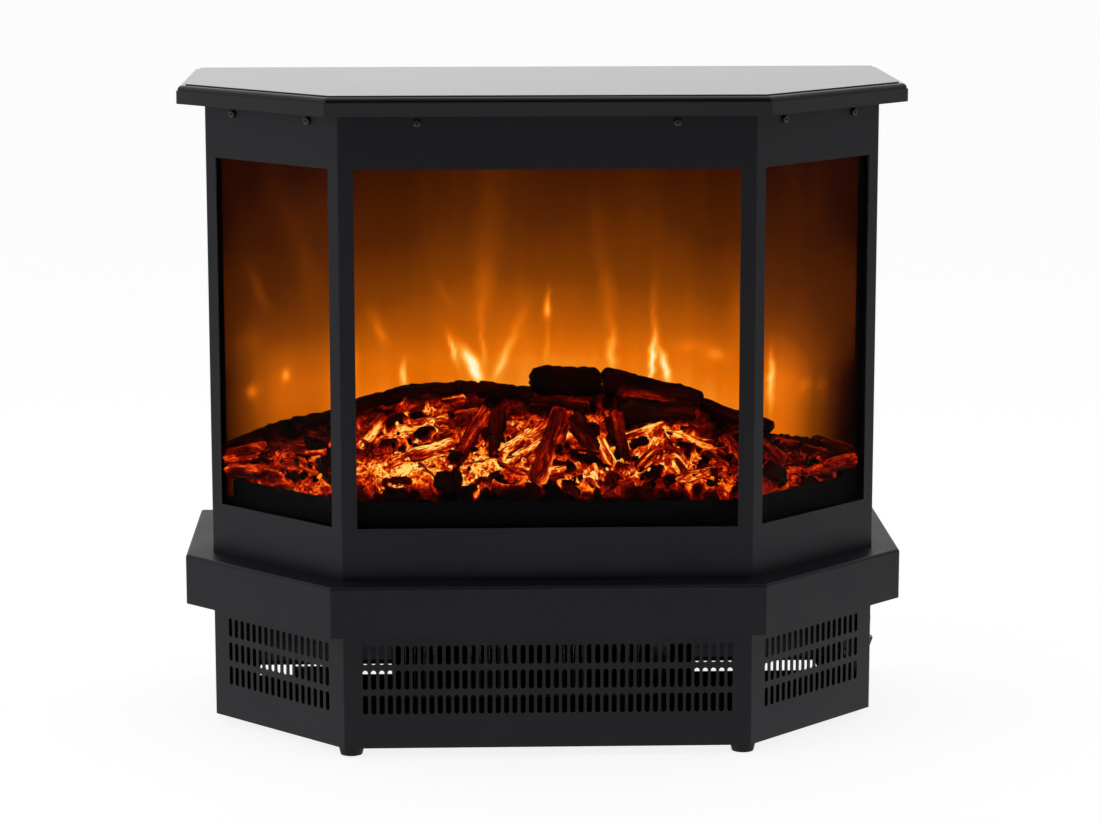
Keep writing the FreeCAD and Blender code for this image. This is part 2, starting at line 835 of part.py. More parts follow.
def plinth_shell():
    """Folded plinth with the heater grille in its three front faces and the switches on its right side."""
    flange_back = "shell_back - rear_lip"
    body = folded_shell("plinth_shell", "plinth_base", "plinth_height", "plinth_flange", flange_back, False)
    inset, mouth_back = "overhang + sheet + plinth_flange", "shell_back - plinth_flange"
    mouth = plan(body, "plinth_top_mouth", inset, mouth_back, "ledge_base")
    pocket(body, "plinth_top", mouth, "4 * sheet", both_ways=True)
    slot_block(body, "front", 0, "slot_columns", "slot_pitch")
    slot_block(body, "right", 1, "side_slot_columns", "side_slot_pitch")
    slot_block(body, "left", -1, "side_slot_columns", "side_slot_pitch")
    controls = across(body, "control_holes", "body_half")
    half_width, half_height = "(switch_width / 2 + fit_gap)", "(switch_height / 2 + fit_gap)"
    for y in ROCKER_PLACES:
        rectangle(
            controls,
            f"{y} - {half_width}",
            f"control_level - {half_height}",
            f"{y} + {half_width}",
            f"control_level + {half_height}",
        )
    circle(controls, "knob_place", "control_level", "pot_bush / 2 + screw_gap")
    pocket(body, "control_cut", controls, "4 * sheet", both_ways=True)
    rear = upright(body, "plinth_rear_holes", "shell_back")
    for x, z in PLINTH_PANEL_SCREWS:
        circle(rear, x, z, "hole_radius")
    pocket(body, "plinth_rear_drill", rear, "4 * sheet", both_ways=True)
    feet = level(body, "plinth_foot_holes", "plinth_base")
    for x, y in FEET:
        circle(feet, x, y, "hole_radius")
    pocket(body, "plinth_foot_drill", feet, "4 * sheet", both_ways=True)
    return node(body, "plinth_shell")


def hearth_ledge():
    """Folded tray, open below, that steps out all round between plinth and firebox."""
    body = new_body("hearth_ledge")
    back = "overall_depth / 2"
    pad(body, "ledge_blank", plan(body, "ledge_plan", "0", back, "ledge_base"), "ledge_height")
    round_edges(body, "ledge_bends", "bend_radius", bay_corner("0"))
    brink = value("body_base")
    rear = value(back)

    def top_edge(edge):
        flat = edge.BoundBox.ZMin > brink - 1e-6
        return flat and edge.BoundBox.YMin < rear - 1e-6

    round_edges(body, "ledge_brink", "bend_radius", top_edge)
    inner = plan(body, "ledge_inner", "sheet", f"{back} - sheet", "ledge_base + sheet")
    pocket(body, "ledge_hollow", inner, "ledge_height - 2 * sheet", backwards=True)
    inset, mouth_back = "overhang + sheet + plinth_flange", "shell_back - plinth_flange"
    mouth = plan(body, "ledge_mouth", inset, mouth_back, "ledge_base")
    pocket(body, "ledge_bottom", mouth, "4 * sheet", both_ways=True)
    half_width, half_length = "wire_way_width / 2", "wire_way_length / 2"
    wires = rectangle(
        level(body, "ledge_wires", "body_base"),
        f"wire_way_place - {half_width}",
        f"wire_way_depth - {half_length}",
        f"wire_way_place + {half_width}",
        f"wire_way_depth + {half_length}",
    )
    pocket(body, "ledge_wire_way", wires, "4 * sheet", both_ways=True)
    return node(body, "hearth_ledge")


# Windows


def glass_panes():
    """Three flat panes lapping behind the window edges."""
    low, high = "window_base - glass_lap", "window_base + window_height + glass_lap"
    reach = "(front_half - window_margin + glass_lap)"
    face, back = "body_front + sheet", "body_front + sheet + glass_thickness"
    node(box("glass_front", f"-{reach}", face, low, reach, back, high), "glass_front")
    start = "window_margin - glass_lap"
    length = f"face_length - 2 * ({start})"
    for side, word in ((1, "right"), (-1, "left")):
        pane = doc.addObject("Part::Box", f"glass_{word}")
        bind(pane, Length=length, Width="glass_thickness", Height=f"{high} - ({low})")
        corner = start if side > 0 else f"({start}) + {length}"
        place(pane, *on_face(side, corner, "sheet"), low, face_turn(side))
        node(pane, f"glass_{word}")


def glass_clips():
    """Spring clips on the shell that hold each pane by its upper and lower edges."""
    clip = new_body("glass_clip")
    inside, behind = "sheet", "sheet + glass_thickness"
    profile = outline(
        across(clip, "clip_profile"),
        [
            (inside, "fit_gap"),
            (behind, "fit_gap"),
            (behind, "-clip_lip"),
            (f"{behind} + sheet", "-clip_lip"),
            (f"{behind} + sheet", "fit_gap + sheet"),
            (f"{inside} + sheet", "fit_gap + sheet"),
            (f"{inside} + sheet", "fit_gap + clip_foot"),
            (inside, "fit_gap + clip_foot"),
        ],
    )
    pad(clip, "clip_strip", profile, "clip_width", both_ways=True)
    places = []
    for side in (0, 1, -1):
        for end in (-1, 1):
            along = f"{end} * front_half / 2" if side == 0 else f"face_length / 2 + {end} * face_length / 4"
            x, y = on_face(side, along, "0")
            over = face_turn(side).multiply(Rotation(Vector(0, 1, 0), 180))
            places.append((x, y, "window_base + window_height + glass_lap", face_turn(side)))
            places.append((x, y, "window_base - glass_lap", over))
    copies("glass_clips", clip, places)


# Base, feet and rear


def base_pan():
    """Bottom plate on the plinth's flange, stopping short of the back to let air in."""
    body = new_body("base_pan")
    outer = plan(body, "pan_plan", "overhang + sheet + fit_gap", "pan_back", "plinth_base + sheet")
    pad(body, "pan_sheet", outer, "sheet")
    holes = level(body, "pan_holes", "plinth_base + sheet")
    for x, y in FEET[:2]:
        circle(holes, x, y, "hole_radius")
    pocket(body, "pan_drill", holes, "4 * sheet", both_ways=True)
    return node(body, "base_pan")


def feet():
    """Tapered feet with a recessed screw."""
    foot = new_body("foot")
    bore = "hole_radius"
    profile = outline(
        upright(foot, "foot_profile"),
        [
            ("foot_recess_diameter / 2", "0"),
            ("foot_base_diameter / 2", "0"),
            ("foot_top_diameter / 2", "foot_height"),
            (bore, "foot_height"),
            (bore, "foot_recess_depth"),
            ("foot_recess_diameter / 2", "foot_recess_depth"),
        ],
    )
    revolve(foot, "foot_turned", profile)
    foot_screw = screw("foot_screw", "foot_screw_length")
    up = Rotation(Vector(1, 0, 0), 90)
    copies("feet", foot, [(x, y, "0", None) for x, y in FEET])
    copies("foot_screws", foot_screw, [(x, y, "foot_recess_depth", up) for x, y in FEET])


def rear_panels():
    """Panels over the back of the firebox and of the plinth, with their vents, cover and screws."""
    back = new_body("back_panel")
    edge = upright(back, "back_plan", "shell_back")
    rectangle(edge, "-body_half", "body_base", "body_half", "mantel_base")
    pad(back, "back_sheet", edge, "sheet", backwards=True)
    access_low = "body_base + access_rise"
    hole = rectangle(
        upright(back, "access_hole", "shell_back"),
        "-access_width / 2",
        access_low,
        "access_width / 2",
        f"{access_low} + access_height",
    )
    pocket(back, "access_cut", hole, "4 * sheet", both_ways=True)
    drill = upright(back, "back_holes", "shell_back")
    for x, z in BODY_PANEL_SCREWS + COVER_SCREWS:
        circle(drill, x, z, "hole_radius")
    pocket(back, "back_drill", drill, "4 * sheet", both_ways=True)
    vents = upright(back, "vent_slots", "shell_back")
    first_vent, vent_low = "-(vent_columns - 1) / 2 * vent_pitch", "mantel_base - vent_drop - vent_length"
    slot(vents, first_vent, vent_low, "vent_width", "vent_length")
    first = pocket(back, "vent_cut", vents, "4 * sheet", both_ways=True)
    repeat(back, "vent_row", first, vents, "H_Axis", "vent_pitch", "vent_columns")
    node(back, "back_panel")

    cover = new_body("access_cover")
    edge = rectangle(
        upright(cover, "cover_plan", "shell_back + sheet"),
        "-access_width / 2 - cover_lap",
        f"{access_low} - cover_lap",
        "access_width / 2 + cover_lap",
        f"{access_low} + access_height + cover_lap",
    )
    pad(cover, "cover_sheet", edge, "sheet", backwards=True)
    drill = upright(cover, "cover_holes", "shell_back + sheet")
    for x, z in COVER_SCREWS:
        circle(drill, x, z, "hole_radius")
    pocket(cover, "cover_drill", drill, "4 * sheet", both_ways=True)
    node(cover, "access_cover")

    low = new_body("plinth_back")
    edge = upright(low, "plinth_back_plan", "shell_back")
    rectangle(edge, "-body_half", "plinth_base", "body_half", "ledge_base")
    pad(low, "plinth_back_sheet", edge, "sheet", backwards=True)
    drill = upright(low, "plinth_back_holes", "shell_back")
    for x, z in PLINTH_PANEL_SCREWS:
        circle(drill, x, z, "hole_radius")
    circle(drill, "-gland_place", "plinth_base + gland_rise", "gland_diameter / 2 + screw_gap")
    pocket(low, "plinth_back_drill", drill, "4 * sheet", both_ways=True)
    node(low, "plinth_back")

    panel_screw = screw("panel_screw", "panel_screw_length", "panel_screw_head_height")
    inwards = Rotation(Vector(0, 0, 1), 180)
    places = [(x, "shell_back + sheet", z, inwards) for x, z in BODY_PANEL_SCREWS + PLINTH_PANEL_SCREWS]
    copies("panel_screws", panel_screw, places)
    places = [(x, "shell_back + 2 * sheet", z, inwards) for x, z in COVER_SCREWS]
    copies("cover_screws", panel_screw, places)


COVER_SCREWS = [
    (
        f"{side} * (access_width / 2 + cover_lap / 2)",
        f"body_base + access_rise + access_height / 2 + {rise} * (access_height / 2 - cover_lap / 2)",
    )
    for side in (-1, 1)
    for rise in (-1, 1)
]


def cord_gland():
    """Moulded bush in the plinth's back where the supply lead enters."""
    body = new_body("cord_gland")
    profile = outline(
        sketch_on(body, "gland_profile", "XY_Plane"),
        [
            ("gland_bore / 2", "gland_flange_thickness"),
            ("gland_flange / 2 - gland_flange_thickness / 3", "gland_flange_thickness"),
            ("gland_flange / 2", "gland_flange_thickness / 2"),
            ("gland_flange / 2", "0"),
            ("gland_diameter / 2", "0"),
            ("gland_diameter / 2", "gland_flange_thickness - gland_length"),
            ("gland_bore / 2", "gland_flange_thickness - gland_length"),
        ],
    )
    revolve(body, "gland_turned", profile)
    place(body, "-gland_place", "shell_back + sheet", "plinth_base + gland_rise")
    return node(body, "cord_gland")


# Firebox


def firebox_floor():
    """Inverted steel tray that carries the ember tray."""
    body = new_body("firebox_floor")
    outer = plan(body, "floor_plan", "floor_inset", "screen_back", "body_base")
    pad(body, "floor_blank", outer, "floor_height")
    inner = plan(body, "floor_inner", "floor_inset + sheet", "screen_back - sheet", "body_base")
    pocket(body, "floor_hollow", inner, "floor_height - sheet", backwards=True)
    return node(body, "firebox_floor")


def ember_tray():
    """Black tray whose lip hides the foot of the ember bed."""
    body = new_body("ember_tray")
    back = "screen_place - fit_gap"
    pad(body, "tray_blank", plan(body, "tray_plan", "floor_inset", back, "floor_top"), "tray_lip")
    inner = plan(body, "tray_inner", "floor_inset + tray_wall", f"{back} - tray_wall", "bed_base")
    pocket(body, "tray_hollow", inner, "tray_lip", backwards=True)
    return node(body, "ember_tray")


# Stations across the mound, each with its crest as a share of the mound's height.
BED_STATIONS = [
    ("bed_end - bed_half", 0.505),
    ("-bed_front_half", 0.816),
    ("-bed_front_half / 2", 0.981),
    ("0", 1.000),
    ("bed_front_half / 2", 0.961),
    ("bed_front_half", 0.757),
    ("bed_half - bed_end", 0.427),
]

# Logs of the moulding: both ends, as shares of the bed's half width, depth and height, and both radii
# as shares of its height.
LOGS = [
    ((-0.941, 0.838, 0.427), (-0.496, 0.799, 0.874), 0.107, 0.155),
    ((-0.523, 0.786, 0.854), (0.039, 0.786, 0.951), 0.165, 0.155),
    ((0.232, 0.786, 0.951), (0.736, 0.812, 0.641), 0.155, 0.126),
    ((0.697, 0.812, 0.660), (0.930, 0.851, 0.388), 0.117, 0.078),
    ((-0.054, 0.721, 0.981), (0.163, 0.734, 1.019), 0.155, 0.146),
    ((0.209, 0.734, 0.981), (0.364, 0.747, 0.913), 0.146, 0.136),
    ((-0.480, 0.343, 0.650), (-0.201, 0.408, 0.777), 0.087, 0.078),
    ((-0.302, 0.122, 0.427), (-0.163, 0.447, 0.796), 0.087, 0.078),
    ((-0.163, 0.291, 0.641), (0.015, 0.408, 0.777), 0.078, 0.078),
    ((-0.050, 0.096, 0.398), (0.077, 0.460, 0.816), 0.097, 0.087),
    ((0.178, 0.447, 0.777), (0.240, 0.148, 0.466), 0.087, 0.087),
    ((0.225, 0.486, 0.796), (0.434, 0.499, 0.777), 0.107, 0.097),
    ((0.403, 0.382, 0.680), (0.542, 0.252, 0.524), 0.087, 0.078),
    ((-0.813, 0.564, 0.495), (-0.604, 0.343, 0.553), 0.087, 0.078),
    ((0.589, 0.330, 0.515), (0.806, 0.577, 0.437), 0.087, 0.078),
]
COALS = [
    (-0.565, 0.161, 0.408),
    (-0.318, 0.076, 0.369),
    (-0.062, 0.063, 0.350),
    (0.376, 0.083, 0.359),
]


def bed_spot(spot):
    """Formulas for a place given as shares of the bed's half width, depth and height."""
    aside, inward, rise = spot
    x = f"({aside} * bed_half)"
    y = f"(bed_front + {inward} * (bed_back - bed_front))"
    z = f"(bed_base + {rise} * mound_height)"
    return x, y, z


def log_between(name, start, end, start_share, end_share):
    """A tapering log from one place of the bed to another."""
    near, far = bed_spot(start), bed_spot(end)
    run, depth, rise = [f"({b} - {a})" for a, b in zip(near, far)]
    length = f"sqrt({run}^2 + {depth}^2 + {rise}^2)"
    log = doc.addObject("Part::Cone", name)
    bind(log, Radius1=f"{start_share} * mound_height", Radius2=f"{end_share} * mound_height", Height=length)
    lean = f"rotation(vector(-{depth}; {run}; 0); acos({rise} / {length}))"
    return bind(log, Placement=f"placement(vector({near[0]}; {near[1]}; {near[2]}); {lean})")


def bed_section(body, name, x, crest, skin):
    """One upright section of the mound, drawn in by a skin thickness."""
    corner = f"max(abs({x}) - bed_front_half; 0)"
    front = f"bed_front + {corner} + {skin}"
    back = f"bed_back - {skin}"
    ridge = "bed_back - bed_crest_setback"
    lip = f"bed_base + bed_lip - {skin}"
    top = f"bed_base + {crest} * mound_height - {skin}"
    knee_inward = f"({front}) * (1 - bed_knee_inward_share) + ({ridge}) * bed_knee_inward_share"
    knee_rise = f"({lip}) * (1 - bed_knee_rise_share) + ({top}) * bed_knee_rise_share"
    points = [
        (front, "bed_base"),
        (front, lip),
        (knee_inward, knee_rise),
        (ridge, top),
        (back, f"{top} - bed_back_drop"),
        (back, "bed_base"),
    ]
    return outline(across(body, name, x), points)


def loft(body, kind, name, sections):
    made = body.newObject(f"PartDesign::{kind}", name)
    made.Profile = sections[0]
    made.Sections = sections[1:]
    made.Ruled = True
    return made


def ember_bed():
    """Hollow moulding of embers and charred logs, open below to its lights."""
    mound = new_body("ember_mound")
    outer = [bed_section(mound, f"mound_{i}", x, crest, "0") for i, (x, crest) in enumerate(BED_STATIONS)]
    loft(mound, "AdditiveLoft", "mound_skin", outer)
    inner = []
    for i, (x, crest) in enumerate(BED_STATIONS):
        if i in (0, len(BED_STATIONS) - 1):
            x = f"({x}) * (1 - 2 * bed_wall / bed_half)"
        inner.append(bed_section(mound, f"hollow_{i}", x, crest, "bed_wall"))
    loft(mound, "SubtractiveLoft", "mound_hollow", inner)
    pieces = [mound]
    for i, (start, end, start_share, end_share) in enumerate(LOGS, start=1):
        pieces.append(log_between(f"log_{i}", start, end, start_share, end_share))
    half = "coal_side / 2"
    for i, spot in enumerate(COALS, start=1):
        low = [f"{middle} - {half}" for middle in bed_spot(spot)]
        high = [f"{middle} + {half}" for middle in bed_spot(spot)]
        pieces.append(box(f"coal_{i}", *low, *high))
    return node(joined("ember_bed", *pieces), "ember_bed")


def light_board(name, x0, y0, z0, x1, y1, z1):
    return node(box(name, x0, y0, z0, x1, y1, z1), name)


def lamps(name, count, pitch, depth, rise):
    """A row of equal lamps across the stove, given by their middle and size in depth and in height."""
    row = []
    for i in range(SIZES[count]):
        x = f"({i} - ({count} - 1) / 2) * {pitch}"
        low, high = [], []
        for middle, size in ((x, "led_width"), depth, rise):
            low.append(f"{middle} - {size} / 2")
            high.append(f"{middle} + {size} / 2")
        row.append(box(f"{name}_{i + 1}", *low, *high))
    group(name, row)


def ember_lights():
    """Light board under the ember bed."""
    half, middle = "ember_board_length / 2", "ember_board_place"
    low, high = "bed_base", "bed_base + board_thickness"
    edge = "ember_board_width / 2"
    light_board("ember_board", f"-{half}", f"{middle} - {edge}", low, half, f"{middle} + {edge}", high)
    rise = (f"{high} + led_height / 2", "led_height")
    lamps("ember_leds", "ember_led_count", "ember_led_pitch", (middle, "led_width"), rise)


def flame_screen():
    """Frosted sheet that shows the flames, between two upright angles."""
    half = "(inner_half - screen_margin)"
    screen = box("flame_screen", f"-{half}", "screen_place", "floor_top", half, "screen_back", "screen_top")
    node(screen, "flame_screen")
    body = new_body("screen_brackets")
    for side in (-1, 1):
        word = "right" if side > 0 else "left"
        wall, inner = f"{side} * inner_half", f"{side} * (inner_half - screen_angle)"
        skin = f"{side} * (inner_half - sheet)"
        angle = outline(
            level(body, f"angle_plan_{word}", "body_base + sheet"),
            [
                (wall, "screen_back"),
                (wall, "screen_back + screen_angle"),
                (skin, "screen_back + screen_angle"),
                (skin, "screen_back + sheet"),
                (inner, "screen_back + sheet"),
                (inner, "screen_back"),
            ],
        )
        pad(body, f"angle_{word}", angle, "screen_top - body_base - sheet")
    node(body, "screen_brackets")


def flame_stencil():
    """Folded sheet with flame-shaped openings between spindle and screen."""
    body = new_body("flame_stencil")
    profile = outline(
        across(body, "stencil_profile"),
        [
            ("stencil_place", "body_base"),
            ("stencil_place + stencil_foot", "body_base"),
            ("stencil_place + stencil_foot", "body_base + sheet"),
            ("stencil_place + sheet", "body_base + sheet"),
            ("stencil_place + sheet", "body_base + stencil_height"),
            ("stencil_place", "body_base + stencil_height"),
        ],
    )
    pad(body, "stencil_sheet", profile, "stencil_width", both_ways=True)
    flame = upright(body, "flame_cut_plan", "stencil_place")
    middle = "(-(flame_count - 1) / 2 * flame_pitch)"
    foot = "body_base + flame_rise"
    outline(
        flame,
        [
            (f"{middle} - flame_foot_width / 2", foot),
            (f"{middle} + flame_foot_width / 2", foot),
            (f"{middle} + flame_width / 2", f"{foot} + flame_shoulder_rise"),
            (f"{middle} + flame_tip_lean", f"{foot} + flame_height"),
            (f"{middle} - flame_width / 2", f"{foot} + flame_back_rise"),
        ],
    )
    first = pocket(body, "flame_cut", flame, "6 * sheet", both_ways=True)
    repeat(body, "flame_row", first, flame, "H_Axis", "flame_pitch", "flame_count")
    return node(body, "flame_stencil")


def flame_spindle():
    """Rod with bright flags set in a spiral, which throws the moving light."""
    start = "-spindle_span / 2 - stand_sheet"
    length = "spindle_span + 2 * stand_sheet + motor_grip"
    shaft = rod("spindle_rod", "x", start, "spindle_place", "spindle_level", "spindle_diameter", length)
    pieces = [shaft]
    for i in range(SIZES["flag_count"]):
        flag = doc.addObject("Part::Box", f"flag_{i + 1}")
        bind(flag, Length="flag_thickness", Width="flag_width", Height="flag_length")
        turn = Rotation(Vector(1, 0, 0), SIZES["flag_turn"] * i)
        angle = f"({i} * flag_turn * 1deg)"
        shift_y = f"(cos({angle}) * flag_width - sin({angle}) * flag_length) / 2"
        shift_z = f"(sin({angle}) * flag_width + cos({angle}) * flag_length) / 2"
        x = f"({i} - (flag_count - 1) / 2) * flag_pitch - flag_thickness / 2"
        place(flag, x, f"spindle_place - {shift_y}", f"spindle_level - {shift_z}", turn)
        pieces.append(flag)
    return node(joined("flame_spindle", *pieces), "flame_spindle")


def spindle_stand(name, side, bore):
    """Folded stand on the hearth's top plate that carries one end of the spindle."""
    body = new_body(name)
    inner = f"{side} * spindle_span / 2"
    outer = f"{side} * (spindle_span / 2 + stand_sheet)"
    foot = f"{side} * (spindle_span / 2 - stand_foot)"
    top = "spindle_level + stand_head"
    profile = outline(
        upright(body, f"{name}_profile", "spindle_place"),
        [
            (foot, "body_base"),
            (outer, "body_base"),
            (outer, top),
            (inner, top),
            (inner, "body_base + stand_sheet"),
            (foot, "body_base + stand_sheet"),
        ],
    )
    pad(body, f"{name}_sheet", profile, "stand_width", both_ways=True)
    hole = circle(across(body, f"{name}_hole", inner), "spindle_place", "spindle_level", bore)
    pocket(body, f"{name}_bore", hole, "4 * stand_sheet", both_ways=True)
    return node(body, name)


def spindle_drive():
    """Stands at both ends of the spindle and the geared motor on the right one."""
    spindle_stand("spindle_bearing", -1, "spindle_diameter / 2 + running_gap")
    spindle_stand("motor_bracket", 1, "motor_boss / 2 + screw_gap")
    face = "spindle_span / 2 + stand_sheet"
    can = rod("motor_can", "x", face, "spindle_place", "spindle_level", "motor_diameter", "motor_length")
    nose = "spindle_span / 2"
    boss = rod("motor_nose", "x", nose, "spindle_place", "spindle_level", "motor_boss", "stand_sheet")
    bore = rod(
        "motor_bore",
        "x",
        "spindle_span / 2",
        "spindle_place",
        "spindle_level",
        "spindle_diameter + 2 * running_gap",
        "stand_sheet + motor_grip + fit_gap",
    )
    node(cut("spindle_motor", joined("motor_body", can, boss), bore), "spindle_motor")


def flame_lights():
    """Row of lamps behind the spindle on a folded rail."""
    rail = new_body("led_rail")
    half = "flame_board_length / 2"
    face = "rail_place + board_thickness"
    profile = outline(
        across(rail, "rail_profile"),
        [
            (face, "body_base"),
            (f"{face} + rail_foot", "body_base"),
            (f"{face} + rail_foot", "body_base + sheet"),
            (f"{face} + sheet", "body_base + sheet"),
            (f"{face} + sheet", "body_base + rail_height"),
            (face, "body_base + rail_height"),
        ],
    )
    pad(rail, "rail_sheet", profile, "flame_board_length", both_ways=True)
    node(rail, "led_rail")
    low = "body_base + flame_board_rise"
    light_board("flame_board", f"-{half}", "rail_place", low, half, face, f"{low} + flame_board_width")
    depth = ("rail_place - led_height / 2", "led_height")
    rise = (f"{low} + flame_board_width / 2", "led_width")
    lamps("flame_leds", "flame_led_count", "flame_led_pitch", depth, rise)


# Fan heater in the plinth


def heater_housing():
    """Open-fronted box on the base pan with an inlet in its back."""
    outer = box(
        "housing_blank",
        "-heater_half",
        "heater_front",
        "pan_top",
        "heater_half",
        "heater_back",
        "heater_top",
    )
    inner = box(
        "housing_inside",
        "sheet - heater_half",
        "heater_front - sheet",
        "pan_top + sheet",
        "heater_half - sheet",
        "heater_back - sheet",
        "heater_top - sheet",
    )
    inlet = box(
        "housing_inlet",
        "-inlet_width / 2",
        "heater_back - 2 * sheet",
        "heater_top - inlet_top - inlet_height",
        "inlet_width / 2",
        "heater_back + sheet",
        "heater_top - inlet_top",
    )
    node(cut("heater_housing", outer, inner, inlet), "heater_housing")
    wall = box(
        "bay_plate",
        "bay_wall",
        "heater_front",
        "pan_top + sheet",
        "bay_wall + sheet",
        "heater_back - sheet",
        "heater_top - sheet",
    )
    start = "bay_wall - sheet"
    way = rod("bay_hole", "x", start, "rotor_place", "rotor_level", "bearing_diameter", "4 * sheet")
    node(cut("motor_plate", wall, way), "motor_plate")
    wall = "sheet - heater_half"
    bush = rod("bush_blank", "x", wall, "rotor_place", "rotor_level", "bearing_diameter", "bearing_length")
    bore = rod(
        "bush_bore",
        "x",
        "-heater_half",
        "rotor_place",
        "rotor_level",
        "rotor_shaft + 2 * running_gap",
        "bearing_length + 2 * sheet",
    )
    node(cut("rotor_bearing", bush, bore), "rotor_bearing")


def blower_rotor():
    """Cross-flow fan rotor: curved blades between end discs on a through shaft."""
    body = new_body("blower_rotor")
    tip = "rotor_diameter / 2"
    root = f"({tip} - blade_chord)"
    blade = across(body, "blade_profile", "rotor_start")
    mid = f"(({tip} + {root}) / 2)"
    outline(
        blade,
        [
            ("0", root),
            ("blade_lean", mid),
            ("0", f"{tip} - blade_thickness"),
            ("blade_thickness", f"{tip} - blade_thickness"),
            ("blade_lean + blade_thickness", mid),
            ("blade_thickness", root),
        ],
    )
    first = pad(body, "blade", blade, "rotor_end - rotor_start")
    ring = body.newObject("PartDesign::PolarPattern", "blade_ring")
    ring.Originals = [first]
    ring.Axis = (blade, ["N_Axis"])
    ring.Angle = 360
    bind(ring, Occurrences="blade_count")
    body.Tip = ring
    for word, x in (("near", "rotor_start"), ("far", "rotor_end - rotor_disc")):
        pad(body, f"disc_{word}", circle(across(body, f"disc_plan_{word}", x), "0", "0", tip), "rotor_disc")
    shaft = circle(across(body, "rotor_shaft_plan", "sheet - heater_half"), "0", "0", "rotor_shaft / 2")
    pad(body, "rotor_shaft_rod", shaft, "bay_wall + heater_half + sheet + stack_length / 2")
    place(body, "0", "rotor_place", "rotor_level")
    return node(body, "blower_rotor")


def blower_scroll():
    """Curved guide behind the rotor that turns the air towards the front."""
    body = new_body("blower_scroll")
    profile = across(body, "scroll_profile", "sheet - heater_half + fit_gap")
    spot = Vector(value("rotor_place"), value("rotor_level"), 0)
    quarter = 3.14159265358979 / 2
    radii = ("rotor_diameter / 2 + scroll_gap", "rotor_diameter / 2 + scroll_gap + sheet")
    for index, text in enumerate(radii):
        arc = Part.ArcOfCircle(Part.Circle(spot, Vector(0, 0, 1), value(text)), -quarter, 0)
        profile.addGeometry(arc, False)
        fix_point(profile, index, 3, "rotor_place", "rotor_level")
        rule = profile.addConstraint(Sketcher.Constraint("Radius", index, value(text)))
        profile.setExpression(f"Constraints[{rule}]", formula(text))
        low = profile.addConstraint(Sketcher.Constraint("DistanceX", -1, 1, index, 1, spot.x))
        profile.setExpression(f"Constraints[{low}]", formula("rotor_place"))
        high = profile.addConstraint(Sketcher.Constraint("DistanceY", -1, 1, index, 2, spot.y))
        profile.setExpression(f"Constraints[{high}]", formula("rotor_level"))
    near, far = value(radii[0]), value(radii[1])
    for line, end, way in ((2, 2, Vector(1, 0, 0)), (3, 1, Vector(0, -1, 0))):
        profile.addGeometry(Part.LineSegment(spot + way * near, spot + way * far), False)
        profile.addConstraint(Sketcher.Constraint("Coincident", line, 1, 0, end))
        profile.addConstraint(Sketcher.Constraint("Coincident", line, 2, 1, end))
    pad(body, "scroll_sheet", profile, "heater_half + bay_wall - sheet - 2 * fit_gap")
    return node(body, "blower_scroll")


def blower_motor():
    """Shaded-pole motor on the motor plate: laminated stack, coil and end caps."""
    face = "bay_wall + sheet"
    half = "stack_width / 2"
    stack = box(
        "motor_stack",
        face,
        f"rotor_place - {half}",
        f"rotor_level - {half}",
        f"{face} + stack_length",
        f"rotor_place + {half}",
        "rotor_level + stack_rise",
    )
    coil = rod(
        "motor_coil",
        "y",
        f"{face} + stack_length / 2",
        "rotor_place - coil_length / 2",
        "rotor_level - coil_drop",
        "coil_diameter",
        "coil_length",
    )
    cap = rod(
        "motor_cap",
        "x",
        f"{face} + stack_length",
        "rotor_place",
        "rotor_level",
        "motor_cap_diameter",
        "bearing_length",
    )
    bore = rod(
        "motor_way",
        "x",
        face,
        "rotor_place",
        "rotor_level",
        "rotor_shaft + 2 * running_gap",
        "stack_length / 2 + 2 * sheet",
    )
    node(cut("blower_motor", joined("blower_motor_body", stack, coil, cap), bore), "blower_motor")


def heating_element():
    """Finned heater block across the mouth of the housing."""
    body = new_body("heating_element")
    front, back = "heater_front + element_place", "heater_front + element_place + element_depth"
    low, high = "pan_top + sheet", "heater_top - sheet"
    for word, z0 in (("low", low), ("high", f"{high} - element_rail")):
        bar = rectangle(level(body, f"element_bar_{word}", z0), "element_start", front, "element_end", back)
        pad(body, f"element_rail_{word}", bar, "element_rail")
    fin = rectangle(
        level(body, "fin_plan", f"{low} + element_rail"),
        "element_start + fin_end - fin_thickness / 2",
        f"{front} + fin_thickness",
        "element_start + fin_end + fin_thickness / 2",
        f"{back} - fin_thickness",
    )
    first = pad(body, "fin", fin, f"{high} - ({low}) - 2 * element_rail")
    repeat(body, "fin_row", first, fin, "H_Axis", "fin_pitch", "fin_count")
    return node(body, "heating_element")


def heater_safety():
    """Thermal cut-out on top of the housing and the terminal block beside it."""
    y = "heater_front + heater_depth / 3"
    disc = rod("cutout_can", "z", "cutout_place", y, "heater_top", "cutout_diameter", "cutout_height")
    collar = rod("cutout_collar", "z", "cutout_place", y, "heater_top", "cutout_collar_diameter", "sheet")
    node(joined("thermal_cutout", disc, collar), "thermal_cutout")
    half = "terminal_length / 2"
    block = box(
        "terminal_blank",
        f"-terminal_place - {half}",
        "rotor_place - terminal_width / 2",
        "pan_top",
        f"-terminal_place + {half}",
        "rotor_place + terminal_width / 2",
        "pan_top + terminal_height",
    )
    ways = []
    for i in range(SIZES["terminal_ways"]):
        x = f"-terminal_place + ({i} - (terminal_ways - 1) / 2) * terminal_pitch"
        ways.append(
            rod(
                f"terminal_way_{i + 1}",
                "y",
                x,
                "rotor_place - terminal_width",
                "pan_top + terminal_height / 3",
                "terminal_bore",
                "2 * terminal_width",
            )
        )
    node(cut("terminal_block", block, *ways), "terminal_block")


# Controls

ROCKER_PLACES = [f"rocker_first + {i} * rocker_pitch" for i in range(3)]
ROCKER_NAMES = ["power_rocker", "low_heat_rocker", "high_heat_rocker"]


